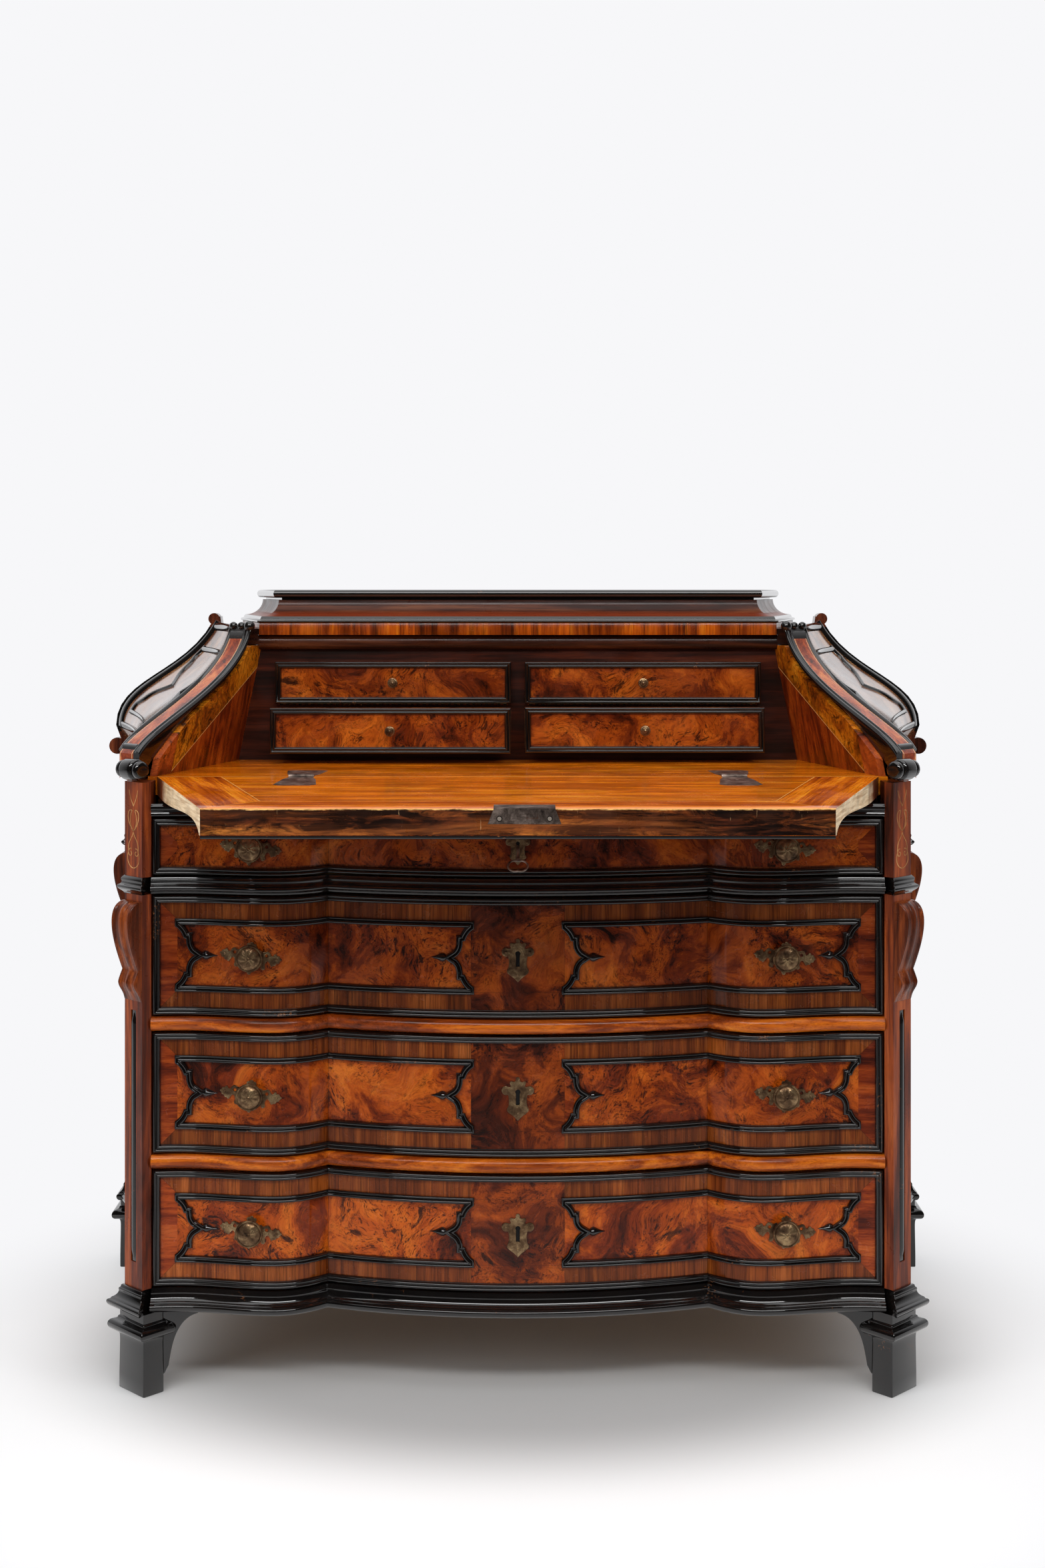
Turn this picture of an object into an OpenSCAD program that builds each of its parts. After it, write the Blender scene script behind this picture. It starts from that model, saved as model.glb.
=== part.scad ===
// Slant-front desk with a serpentine front, shown with its fall open.
// Millimetres, +Z up, front towards -Y. The origin is on the floor under the middle of the object.

/* [Case] */
// Half the distance between the front arrises of the two front corner posts
front_half = 494; // [480:1:520]
// Half the width over the outer faces of the rear corner posts
rear_half = 611; // [600:1:640]
// Depth from the front arrises to the back
case_depth = 565; // [540:5:620]
// Width of a front post's canted face
post_face = 40; // [34:1:46]
// Width of a rear post across the case
rear_post_w = 40; // [34:1:50]
// Depth of a rear post, from its front to the back of the desk
rear_post_d = 64; // [56:1:72]
// Thickness of the lower side boards
side_t = 20; // [16:1:24]
// Hollow of the lower sides, seen from above, for each millimetre that they splay
side_hollow = 0.31; // [0.1:0.01:0.34]
// Thickness of the back boards
back_t = 12; // [8:1:16]

/* [Heights] */
// Height of the feet under the base moulding
foot_h = 108; // [96:1:130]
// Height of the base moulding
base_h = 30; // [26:1:36]
// Height of the bottom drawer front
bottom_drawer_h = 152; // [140:1:170]
// Height of the middle drawer front
middle_drawer_h = 158; // [140:1:170]
// Height of the upper long drawer front
upper_drawer_h = 157; // [140:1:170]
// Height of the top drawer front
top_drawer_h = 74; // [66:1:84]
// Height of the cushion rails between the long drawers
rail_h = 19; // [17:1:26]
// Gap above and below each drawer front
reveal = 2.5; // [1:0.1:4]
// Height of the waist moulding
waist_h = 23; // [20:1:30]
// Height of the rail over the top drawer
top_rail_h = 17; // [14:1:22]
// Drop from the writing surface to the top of that rail
bed_drop = 33; // [31:1:40]
// Thickness of the fixed writing bed
bed_t = 25; // [20:1:26]

/* [Serpentine front] */
// Distance from a front post's arris in to the end of the drawer fronts
front_inset = 12; // [10:1:16]
// Half the width of the bowed middle section
bow_half = 252; // [220:1:280]
// Depth of the crease behind the middle of the bow
crease_in = 40; // [30:1:44]
// Depth of the swelling of the end sections behind the middle of the bow
swell_in = 8; // [2:1:14]
// Depth of the hollow next to the posts behind that swelling
end_hollow = 16; // [6:1:18]
// How far the middle of the drawer face stands before the post arrises
bow_lead = 7; // [0:1:12]

/* [Fall] */
// Distance from the post arrises back to the hinge line
hinge_in = 50; // [46:1:60]
// Length of the fall from its hinge line to its free edge
fall_len = 299; // [280:1:310]
// Distance from a front post's arris in to the end of the fall at the hinge
fall_inset = 10.5; // [10:0.5:16]
// How much each end of the fall draws in towards its free edge
fall_draw = 104.5; // [96:0.5:112]
// Slope of the closed fall
fall_slope = 35; // [34:0.5:37]
// Sag of the open fall below level
fall_sag = 2; // [1:0.1:2.4]
// Thickness of the fall at the hinge
fall_heel = 24; // [20:1:26]
// Thickness of the fall at its free edge, without the ebonised strip
fall_edge = 33; // [30:1:34]
// Thickness of the ebonised strip under the free edge
lip_t = 4.5; // [3:0.5:5]

/* [Upper case] */
// Thickness of the inner cheek boards
cheek_t = 9; // [8:1:10]
// Width of a hip stile with its mouldings
hip_w = 48; // [44:1:52]
// Height of the hip over the writing surface at its foot
hip_foot = 32; // [28:1:36]
// Height of the hip over the writing surface at its top
hip_top = 198; // [196:1:200]
// Overhang of the side slopes beyond the rear posts
slope_over = 19; // [12:1:24]
// Horizontal run of the side slope at the rear
slope_run = 154; // [140:1:165]
// Thickness of the rear stiles
rear_stile_t = 24; // [20:1:30]
// Distance from the hinge line back to the frieze
frieze_back = 238; // [238:1:246]
// Distance from the hip's upper end in to the end of the frieze
frieze_inset = 7.5; // [7:0.5:20]
// Distance from the side slope's upper edge in to the top box, at the back
top_inset = 40; // [36:1:60]
// Height of the frieze's underside over the writing surface
frieze_up = 184; // [183:1:190]
// Height of the crossbanded frieze
frieze_h = 18; // [14:1:24]
// Height of the black necking over the frieze
necking_h = 9; // [6:1:14]
// Height of the cove
cove_h = 24; // [18:1:32]
// How far the cove draws in the top box
cove_in = 32; // [24:1:38]
// Height of the dentil strip under the cap
dentil_h = 3; // [2:0.5:5]
// Height of the cap
cap_h = 12; // [9:1:18]

/* [Nest of small drawers] */
// Distance from the hinge line back to the nest's face
nest_back = 260; // [256:1:270]
// Distance from the cheeks in to the upper small drawer fronts
nest_inset = 26; // [24:1:50]
// Height of a lower small drawer front
nest_low_h = 65; // [60:1:66]
// Height of an upper small drawer front
nest_up_h = 61; // [56:1:62]
// Gap between the two columns of fronts
nest_gap = 20; // [16:1:24]
// Height of the lower fronts over the writing surface
nest_lift = 15.5; // [12:0.5:20]
// Gap between the two rows of fronts
nest_row_gap = 3; // [2.5:0.5:6]
// Thickness of the small drawer fronts
nest_front_t = 11; // [8:1:14]
// How far each small drawer is drawn out: upper left, lower left, upper right, lower right
drawn = [0, 64, 4, 49];

/* [Drawer fittings] */
// Distance of the knobs from the ends of the drawer fronts
knob_inset = 130; // [120:1:160]
// Diameter of the knobs
knob_d = 36; // [30:1:40]
// Width of the black frame round a drawer front
frame_w = 10; // [8:1:12]
// Distance from the ends of the drawer fronts to the pointed reserves
reserve_inset = 28; // [26:1:40]
// Inner end of the pointed reserves
reserve_in = 57; // [50:1:70]
// Margin above and below the reserves
reserve_margin = 30; // [26:1:34]
// Width of the reserve mouldings
reserve_w = 9; // [7:1:11]

/* [Hidden] */
$fn = 48;

walnut = "#8a4a22";
burr = "#a35a26";
light = "#b9722c";
black = "#17130f";
brass = "#7a6a3c";
iron = "#3a332c";
pine = "#c79b62";

// Small clearances: between pieces of one body, and round pieces that move
seat = 0.05;
gap = 0.3;

// Depths: the object's front-to-back middle, with the fall open, lies on Y = 0
fall_reach = fall_len * cos(fall_sag);
back_in = case_depth - hinge_in;
y_hinge = (fall_reach - back_in) / 2;
y_arris = y_hinge - hinge_in;
y_back = y_hinge + back_in;
y_inner_back = y_back - back_t;
y_face = y_arris - bow_lead;

// Widths that follow the front posts
drawer_half = front_half - front_inset;
fall_rear_w = 2 * (front_half - fall_inset);
fall_front_w = fall_rear_w - 2 * fall_draw;
knob_x = drawer_half - knob_inset;
reserve_out = drawer_half - reserve_inset;

// Heights, from the floor up
z_base = foot_h + base_h;
z4 = z_base + reveal;
z_rail3 = z4 + bottom_drawer_h + reveal;
z3 = z_rail3 + rail_h + reveal;
z_rail2 = z3 + middle_drawer_h + reveal;
z2 = z_rail2 + rail_h + reveal;
z_waist = z2 + upper_drawer_h + reveal;
z_block = z_waist + waist_h;
z1 = z_block + reveal;
z_top_rail = z1 + top_drawer_h + reveal;
z_rail_top = z_top_rail + top_rail_h;
z_bed = z_rail_top + bed_drop;
z_side_top = z_bed - 4;
drawer_z = [z1, z2, z3, z4];
drawer_h = [top_drawer_h, upper_drawer_h, middle_drawer_h, bottom_drawer_h];
z_frieze = z_bed + frieze_up;
z_necking = z_frieze + frieze_h;
z_cove = z_necking + necking_h;
z_dentil = z_cove + cove_h;
z_cap = z_dentil + dentil_h;

// Plan of a front post: the canted face's half width and middle, and the inner side
half_face = post_face / 2;
diag = post_face / sqrt(2);
face_mid = [-(front_half + diag / 2), y_arris + diag / 2];
post_inner = drawer_half + 2;
post_return = diag / 2;
post_rear_y = y_arris + diag + post_return;
rear_post_y = y_back - rear_post_d;

// Lower side: outer half width at a depth y, hollowed between the posts
side_y0 = y_arris + diag + 6;
side_x0 = front_half + diag - 6;
side_x1 = rear_half - 4;
function side_x(y) =
  let (r = min(1, max(0, (y - side_y0) / (rear_post_y - side_y0))))
  side_x0 + (side_x1 - side_x0) * (r - side_hollow * 4 * r * (1 - r));
side_y = [for (i = [0:8]) side_y0 + (rear_post_y - side_y0) * i / 8];

// Serpentine of the drawer faces: how far the face lies behind the middle of the bow
bow_r = (bow_half * bow_half + crease_in * crease_in) / (2 * crease_in);
swell_at = 0.3;
hollow_run = 0.55;
function recess(x) =
  let (a = abs(x), t = (a - bow_half) / (drawer_half - bow_half))
  a <= bow_half ? bow_r - sqrt(bow_r * bow_r - a * a)
  : t < swell_at ? swell_in + (crease_in - swell_in) * pow((swell_at - t) / swell_at, 2)
  : swell_in + end_hollow * (1 - cos(180 * (t - swell_at) / hollow_run)) / 2;
function station(i) = i <= 8 ? bow_half * i / 8 : bow_half + (drawer_half - bow_half) * (i - 8) / 8;
front_x = [for (i = [-16:16]) sign(i) * station(abs(i))];
face = [for (x = front_x) [x, recess(x)]];
function face_y(x, out) = y_face + lookup(x, face) - out;
function stations(a, b) = concat([a], [for (x = front_x) if (x > a + 0.5 && x < b - 0.5) x], [b]);

// Point at t on the cubic curve with the four given control points
function bez(a, b, c, d, t) =
  a * pow(1 - t, 3) + 3 * b * t * pow(1 - t, 2) + 3 * c * t * t * (1 - t) + d * pow(t, 3);
function turn(v, a) = [v[0] * cos(a) - v[1] * sin(a), v[0] * sin(a) + v[1] * cos(a)];

// Outer face of the fall: distance from the hinge, and thickness there
fall_nose = 6;
fall_curve = [for (i = [0:12])
  bez([0, fall_heel], [110, fall_heel + 14], [fall_len - 37, 0], [fall_len - fall_nose, fall_edge], i / 12)];
// The same face when the fall is closed, as depth and height
fall_closed = [for (p = fall_curve)
  [y_hinge + p[0] * cos(fall_slope) - p[1] * sin(fall_slope),
   z_bed + p[0] * sin(fall_slope) + p[1] * cos(fall_slope)]];
function fall_half(s) = fall_rear_w / 2 - (fall_rear_w - fall_front_w) / 2 * s / fall_len;

// Plane of the cheeks: half width at a depth and height, just outside the closed fall's ends
fall_taper = (fall_rear_w - fall_front_w) / 2 / fall_len;
function cheek_x(y, z) =
  fall_rear_w / 2 + 1 - fall_taper * ((y - y_hinge) * cos(fall_slope) + (z - z_bed) * sin(fall_slope));
// Top edge of the cheek's front part, under the hip moulding
cheek_drop = 8;
function cheek_edge(y) = lookup(y, fall_closed) - cheek_drop;

// Hip: inner edge from its foot to its top, and the ogee of its height
hip_u = hip_w / sqrt(2);
hip_a0 = [-(front_half + 5), y_hinge - 37];
hip_a1 = [-(cheek_x(y_hinge + 219, z_bed + hip_top) + 2.5), y_hinge + 219];
hip_run = norm(hip_a1 - hip_a0);
hip_steps = 12;
function hip_pt(t) =
  let (q = bez([0, hip_foot], [40, hip_foot + 40], [hip_run - 21, 112], [hip_run, hip_top], t))
  [hip_a0[0] + (hip_a1[0] - hip_a0[0]) * q[0] / hip_run,
   hip_a0[1] + (hip_a1[1] - hip_a0[1]) * q[0] / hip_run, z_bed + q[1]];
// A point across the hip: inward edge at 0, outward edge at hip_w
function hip_at(t, w, dz) = hip_pt(t) + [-w / sqrt(2), w / sqrt(2), dz];
// The same point on the flat facets the stile is made of
function hip_on(t, w, dz) =
  let (i = min(hip_steps - 1, floor(t * hip_steps)), f = t * hip_steps - i)
  hip_at(i / hip_steps, w, dz) * (1 - f) + hip_at((i + 1) / hip_steps, w, dz) * f;
hip_line = [for (i = [0:hip_steps]) let (p = hip_pt(i / hip_steps)) [p[1], p[2]]];
// Height that stays under the mouldings of the hip, at a depth
function under_hip(y) = lookup(y - 12, hip_line) - 8;

// Rear profile of the side slope, from its overhanging edge up to the ledge
rear_stile_y = y_back - rear_stile_t;
slope_edge_x = rear_half + slope_over;
function rear_pt(t) =
  let (q = bez([0, hip_foot], [0, hip_foot + 75], [slope_run - 45, 113], [slope_run, hip_top], t))
  [-(slope_edge_x - q[0]), rear_stile_y - gap, z_bed + q[1]];
slope_hollow = 26;
// A point of the side slope: t up the ogee, r from the hip to the rear
function slope_pt(t, r) =
  hip_at(t, hip_w + seat, 0) * (1 - r) + rear_pt(t) * r + [slope_hollow * 4 * r * (1 - r) * (1 - 0.6 * t), 0, 0];
slope_steps = 7;
slope_t = 20;
slope_foot_t = 12;

// Solid between two grids of points, outer face p and inner face q, both as rows of equal length
module shell(p, q) {
  n = len(p);
  m = len(p[0]);
  s = n * m;
  pts = concat([for (row = p) each row], [for (row = q) each row]);
  faces = concat(
    [for (i = [0:n - 2], j = [0:m - 2]) each let (a = i * m + j, b = a + 1, c = a + m, d = c + 1)
      [[a, b, d], [a, d, c], [s + a, s + d, s + b], [s + a, s + c, s + d]]],
    [for (j = [0:m - 2]) each let (a = j, b = j + 1, c = (n - 1) * m + j, d = c + 1)
      [[a, s + a, s + b], [a, s + b, b], [c, s + d, s + c], [c, d, s + d]]],
    [for (i = [0:n - 2]) each let (a = i * m, b = a + m, c = a + m - 1, d = c + m)
      [[a, b, s + b], [a, s + b, s + a], [c, s + d, d], [c, s + c, s + d]]]);
  polyhedron(pts, faces);
}

// Solid swept through a list of rings with equal numbers of points, with flat ends
module rings(r) {
  n = len(r);
  k = len(r[0]);
  polyhedron([for (ring = r) each ring], concat(
    [[for (j = [k - 1:-1:0]) j]],
    [[for (j = [0:k - 1]) (n - 1) * k + j]],
    [for (i = [0:n - 2], j = [0:k - 1]) each let (a = i * k + j, b = i * k + (j + 1) % k)
      [[a, b, b + k], [a, b + k, a + k]]]));
}

// Moulding that runs along the serpentine front, from its profile of [out, height] points
module front_run(profile, a, b) {
  rings([for (x = stations(a, b)) [for (p = profile) [x, face_y(x, p[0]), p[1]]]]);
}

// Board with a serpentine front edge and a straight back
module front_board(z0, z1, half, out, y_rear) {
  translate([0, 0, z0])
    linear_extrude(z1 - z0)
      polygon(concat([for (x = stations(-half, half)) [x, face_y(x, out)]], [[half, y_rear], [-half, y_rear]]));
}

// Thin plate that follows the serpentine, between two distances before the face
module front_skin(z0, z1, a, b, out0, out1) {
  xs = stations(a, b);
  translate([0, 0, z0])
    linear_extrude(z1 - z0)
      polygon(concat([for (x = xs) [x, face_y(x, out1)]],
        [for (i = [len(xs) - 1:-1:0]) [xs[i], face_y(xs[i], out0)]]));
}

// Block with one moulded profile of [out, height] points on all four sides, about its own axis
module moulded_block(w, d, profile) {
  n = len(profile) - 1;
  reach = 4 * (w + d);
  intersection() {
    rotate([90, 0, 0])
      linear_extrude(reach, center = true)
        polygon(concat([for (p = profile) [w / 2 + p[0], p[1]]],
          [for (i = [n:-1:0]) [-w / 2 - profile[i][0], profile[i][1]]]));
    rotate([90, 0, 90])
      linear_extrude(reach, center = true)
        polygon(concat([for (p = profile) [d / 2 + p[0], p[1]]],
          [for (i = [n:-1:0]) [-d / 2 - profile[i][0], profile[i][1]]]));
  }
}

// Profile of [out, height] points extruded to a width, standing out towards -Y
module jutting(w, profile) {
  rotate([0, 0, -90])
    rotate([90, 0, 0])
      linear_extrude(w, center = true)
        polygon(profile);
}

// The same on the left and on the right
module both() {
  children();
  mirror([1, 0, 0])
    children();
}

// Places a piece on the canted face of the left front post, with its outside towards -Y
module on_front_post() {
  translate([face_mid[0], face_mid[1], 0])
    rotate([0, 0, -45])
      children();
}

// Places a piece on the outer face of the left rear post, with its outside towards -Y
rear_face_y = rear_post_y + half_face + 3;
module on_rear_post() {
  translate([-rear_half, rear_face_y, 0])
    rotate([0, 0, -90])
      children();
}

// Feet and brackets

foot_w = 56;
foot_d = 31;
foot_out = 3;
// Shaft, hollow, rounded cap and neck of a foot, worked down from the base moulding
foot_profile = concat(
  [[0, 0], [0, foot_h - 38], [1, foot_h - 34]],
  [for (a = [0:30:180]) [6 + 6 * sin(a), foot_h - 24 - 7 * cos(a)]],
  [[2, foot_h - 14], [0, foot_h - 12], [0, foot_h]]);

// Outline of a bracket: run along the base and height, concave towards the middle of the desk
bracket_run = 48;
bracket_outline = concat([[-20, 20], [-20, foot_h - seat], [bracket_run, foot_h - seat]],
  [for (t = [0:0.125:1]) bez([bracket_run, foot_h - 5], [20, foot_h - 12], [14, 62], [11, 46], t)],
  [[9, 34], [0, 20]]);
bracket_t = 12;

module front_foot() {
  on_front_post()
    translate([0, foot_d / 2 - foot_out, 0])
      moulded_block(foot_w, foot_d, foot_profile);
}

rear_foot_w = 60;
rear_foot_d = 42;
module rear_foot() {
  difference() {
    translate([-(rear_half + 11 - rear_foot_d / 2), y_back - rear_foot_w / 2, 0])
      moulded_block(rear_foot_d, rear_foot_w, foot_profile);
    translate([-rear_half - 60, y_back, -1])
      cube([200, 60, foot_h + 2]);
  }
}

module feet() {
  color(black)
    both() {
      front_foot();
      rear_foot();
      difference() {
        translate([face_mid[0] + 37, face_mid[1] + bracket_t + 2, 0])
          rotate([90, 0, 0])
            linear_extrude(bracket_t)
              polygon(bracket_outline);
        translate([face_mid[0] - 40, face_mid[1] - 60, -1])
          linear_extrude(foot_h + 2)
            polygon([[0, 0], [77.5, 60], [0, 137.5]]);
      }
      difference() {
        translate([-(rear_half - 2 * bracket_t), rear_post_y - 3, 0])
          rotate([90, 0, -90])
            linear_extrude(bracket_t)
              polygon(bracket_outline);
        translate([-rear_half - 20, rear_post_y - 4, -1])
          cube([60, 40, foot_h + 2]);
      }
    }
}

// Base and waist mouldings

base_profile = [[-25, 0], [10, 0], [16, 5], [17, 9], [10, 13], [5, 18], [3, 24], [1, 30], [-25, 30]];
base_corner = [[2, 0], [12, 0], [17, 5], [18, 9], [10, 13], [5, 18], [3, 24], [1, 30]];
waist_profile = [[-25, 0], [4, 0], [5, 4], [11, 6], [12, 9], [8, 12], [5, 14], [5, 20], [3, 23], [-25, 23]];
waist_corner = [[1, 0], [3, 3], [7, 6], [8, 9], [5, 12], [3, 14], [3, 21], [1, 23]];
side_bed = 18;

function lifted(profile, z, h, full) = [for (p = profile) [p[0], z + p[1] * h / full]];

// Moulding on a hollow side, from its profile, between the two corner blocks
module side_run(profile) {
  n = len(profile) - 1;
  rings([for (y = side_y) [for (i = [n:-1:0]) [-(side_x(y) + profile[i][0]), y, profile[i][1]]]]);
}

// The block that breaks out round each post, cut off flush with the post's inner side
module corner_blocks(profile, rear_out) {
  difference() {
    on_front_post()
      translate([0, 14, 0])
        moulded_block(post_face, 28, profile);
    translate([-post_inner, y_arris - 60, 0])
      cube([60, 200, 2000]);
    translate([-side_x0 + 4, post_rear_y, 0])
      cube([60, 200, 2000]);
  }
  difference() {
    translate([-rear_half + rear_post_w / 2, y_back - rear_post_d / 2, 0])
      moulded_block(rear_post_w, rear_post_d, [for (p = profile) [p[0] * rear_out, p[1]]]);
    translate([-rear_half - 50, y_back, 0])
      cube([200, 100, 2000]);
    translate([-rear_half + rear_post_w, y_back - 100, 0])
      cube([100, 200, 2000]);
    translate([-side_x1 + side_t - 1, y_back - 100, 0])
      cube([100, rear_post_y - y_back + 100, 2000]);
  }
}

module base_moulding() {
  run = lifted(base_profile, foot_h, base_h, 30);
  corner = lifted(base_corner, foot_h, base_h, 30);
  color(black)
    union() {
      front_run(run, -post_inner, post_inner);
      both() {
        corner_blocks(corner, 0.8);
        side_run([for (p = run) [max(p[0], -side_bed), p[1]]]);
      }
    }
}

module waist_moulding() {
  run = lifted(waist_profile, z_waist, waist_h, 23);
  corner = lifted(waist_corner, z_waist, waist_h, 23);
  color(black)
    union() {
      front_run(run, -post_inner, post_inner);
      both() {
        corner_blocks(corner, 1);
        side_run([for (p = run) [max(p[0], -side_bed), p[1]]]);
      }
    }
}

// Carcase boards

// Half width inside the lower case at a depth
function inside_x(y) = side_x(y) - side_t - seat;
inner_y = [for (y = side_y) if (y > post_rear_y) y];

// Plan of a board that fills the case from a front line to the back
module case_plan(y_front) {
  ys = concat([y_front], [for (y = inner_y) if (y > y_front + 4 && y < rear_post_y - 1) y]);
  corner = rear_half - rear_post_w - seat;
  inner_corner = side_x1 - side_t - seat;
  polygon(concat(
    [for (y = ys) [-inside_x(y), y]],
    [[-inner_corner, rear_post_y - seat], [-corner, rear_post_y - seat], [-corner, y_inner_back - seat]],
    [[corner, y_inner_back - seat], [corner, rear_post_y - seat], [inner_corner, rear_post_y - seat]],
    [for (i = [len(ys) - 1:-1:0]) [inside_x(ys[i]), ys[i]]]));
}

board_front = y_face + crease_in + 25 + seat;
bottom_t = 16;
dust_t = 12;

module bottom_board() {
  color(pine)
    translate([0, 0, z_base - bottom_t])
      linear_extrude(bottom_t)
        case_plan(board_front);
}

// Level with the tops of the rails, so that they carry the drawers
module dust_boards() {
  color(pine)
    for (z = [z_rail3 + rail_h, z_rail2 + rail_h, z_block])
      translate([0, 0, z - dust_t])
        linear_extrude(dust_t)
          case_plan(board_front);
}

module side_length(z0, z1) {
  both()
    translate([0, 0, z0])
      linear_extrude(z1 - z0)
        polygon(concat(
          [for (y = side_y) [-side_x(y), y]],
          [[-side_x1 + side_t, rear_post_y]],
          [for (i = [len(inner_y) - 1:-1:0]) [-side_x(inner_y[i]) + side_t, inner_y[i]]],
          [[-side_x0 + side_t, post_rear_y], [-(front_half + diag - post_return), post_rear_y]]));
}

module sides() {
  color(walnut) {
    side_length(z_base, z_waist);
    side_length(z_block, z_side_top);
  }
}

module back_boards() {
  w = (rear_half - rear_post_w - seat) / 2;
  color(pine)
    for (i = [-2:1])
      translate([i * w, y_inner_back, foot_h])
        cube([w - (i < 1 ? seat : 0), back_t, z_side_top - foot_h]);
}

// Corner posts

strip_w = 12;
strip_sunk = 3;
strip_z0 = z_base + 34;
strip_h = z2 + 6 - strip_z0;
// Plan of the left front post
front_post_plan = [
  [-front_half, y_arris], [-(front_half + diag), y_arris + diag],
  [-(front_half + diag - post_return), post_rear_y], [-post_inner, post_rear_y],
  [-post_inner, y_arris + front_half - post_inner]];

module post_length(z0, z1) {
  both() {
    translate([0, 0, z0])
      linear_extrude(z1 - z0)
        polygon(front_post_plan);
    translate([-rear_half, rear_post_y, z0])
      cube([rear_post_w, rear_post_d, z1 - z0]);
  }
}

module posts() {
  color(walnut)
    difference() {
      union() {
        post_length(z_base, z_waist);
        post_length(z_block, z_side_top);
      }
      both() {
        on_front_post()
          translate([-strip_w / 2, -1, strip_z0])
            cube([strip_w, strip_sunk + 1, strip_h]);
        on_rear_post()
          translate([-strip_w / 2, -1, strip_z0])
            cube([strip_w, strip_sunk + 1, strip_h]);
      }
    }
}

module post_strips() {
  color(black)
    both() {
      on_front_post()
        translate([-strip_w / 2 + gap, 1, strip_z0 + gap])
          cube([strip_w - 2 * gap, strip_sunk - 1, strip_h - 2 * gap]);
      on_rear_post()
        translate([-strip_w / 2 + gap, 1, strip_z0 + gap])
          cube([strip_w - 2 * gap, strip_sunk - 1, strip_h - 2 * gap]);
    }
}

// Carved console: bulges under the waist, draws in and ends in a toe
console_top = z_waist - 9;
console_h = 132;
console_out = 32;
console_bead = 5;
function console_profile(sunk) = concat(
  [[seat, console_top]],
  [for (t = [0:0.1:1]) bez([4, console_top], [console_out - 1.6 * sunk, console_top - 0.03 * console_h],
    [0.75 * console_out - 1.6 * sunk, console_top - 0.36 * console_h], [5, console_top - 0.69 * console_h], t)],
  [[12 - sunk, console_top - 0.82 * console_h], [10 - sunk, console_top - 0.86 * console_h],
    [4, console_top - 0.93 * console_h], [seat, console_top - console_h]]);

// The face is sunk between a raised bead on each edge and a wider one in the middle
module console() {
  jutting(post_face, console_profile(3));
  for (k = [-1, 0, 1])
    translate([k * (post_face - console_bead) / 2, 0, 0])
      jutting(console_bead + (k == 0 ? 4 : 0), console_profile(0));
}

module consoles() {
  color(walnut)
    both() {
      on_front_post()
        console();
      on_rear_post()
        console();
    }
}

// Rails between the drawers

module cushion_rails() {
  color(light)
    for (z = [z_rail3, z_rail2])
      front_run([[-25, z], [1, z], [6, z + 0.15 * rail_h], [9, z + 0.5 * rail_h], [6, z + 0.85 * rail_h],
        [1, z + rail_h], [-25, z + rail_h]], -post_inner, post_inner);
}

mortise = [24, 14, 12];
bolt_y = y_face + 48;

module top_rail() {
  z = z_top_rail;
  h = top_rail_h;
  color(black)
    difference() {
      union() {
        front_run([[-25, z], [2, z], [5, z + 0.2 * h], [4, z + 0.45 * h], [7, z + 0.6 * h], [7, z + 0.8 * h],
          [3, z + h], [-25, z + h]], -post_inner, post_inner);
        translate([-post_inner + 2, y_hinge + 2, z])
          cube([2 * post_inner - 4, 30, z_bed - bed_t - z]);
        translate([-mortise[0], y_face + 20, z])
          cube([2 * mortise[0], y_hinge + 10 - y_face - 20, h]);
      }
      translate([-mortise[0] / 2, bolt_y - mortise[1] / 2, z - 1])
        cube([mortise[0], mortise[1], mortise[2]]);
    }
}

// Strips that keep each drawer straight
box_half = drawer_half - 12;
guide_in = box_half + 1.5;
guide_out = min([for (y = inner_y) inside_x(y)]) - 1;
guide_h = 24;

module drawer_guides() {
  color(pine)
    for (z = [z_base, z_rail3 + rail_h, z_rail2 + rail_h, z_block])
      both()
        translate([-guide_out, board_front + 2, z])
          cube([guide_out - guide_in, y_inner_back - board_front - 4, guide_h]);
}

// Writing bed and hinges

hinge_x = 290;
strap_l = 92;
strap_w = 56;
strap_neck = 34;
plate_t = 2;
knuckle_r = 3;
pin_r = 1.2;
knuckle_l = 12;

// Outline of one leaf of a butterfly hinge, from the hinge line to its wide end
module strap_outline(grow) {
  offset(delta = grow)
    polygon([[-strap_neck / 2, 0], [strap_neck / 2, 0], [strap_neck / 2, 12], [strap_w / 2 - 6, 30],
      [strap_w / 2, strap_l - 8], [strap_w / 2 - 8, strap_l], [-strap_w / 2 + 8, strap_l],
      [-strap_w / 2, strap_l - 8], [-strap_w / 2 + 6, 30], [-strap_neck / 2, 12]]);
}

// Room for the knuckles along the hinge line
module knuckle_room() {
  for (s = [-1, 1])
    translate([s * hinge_x - strap_neck / 2 - gap, y_hinge, z_bed])
      rotate([0, 90, 0])
        cylinder(h = strap_neck + 2 * gap, r = knuckle_r + 0.4);
}

module writing_bed() {
  color(light)
    difference() {
      translate([0, 0, z_bed - bed_t])
        linear_extrude(bed_t)
          case_plan(y_hinge);
      for (s = [-1, 1])
        translate([s * hinge_x, y_hinge, z_bed - plate_t])
          linear_extrude(plate_t + 1)
            strap_outline(0.2);
      knuckle_room();
    }
}

module hinge_plates() {
  color(iron)
    for (s = [-1, 1])
      translate([s * hinge_x, y_hinge, z_bed]) {
        difference() {
          translate([0, 0, -plate_t])
            linear_extrude(plate_t)
              strap_outline(0);
          rotate([0, 90, 0])
            cylinder(h = strap_neck + 4, r = knuckle_r + 0.3, center = true);
        }
        translate([0, 0, -plate_t])
          translate([-knuckle_l / 2, 0, 0])
            cube([knuckle_l, 5, plate_t]);
        rotate([0, 90, 0])
          cylinder(h = knuckle_l, r = knuckle_r, center = true);
        rotate([0, 90, 0])
          cylinder(h = strap_neck - 2, r = pin_r, center = true);
      }
}

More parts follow.
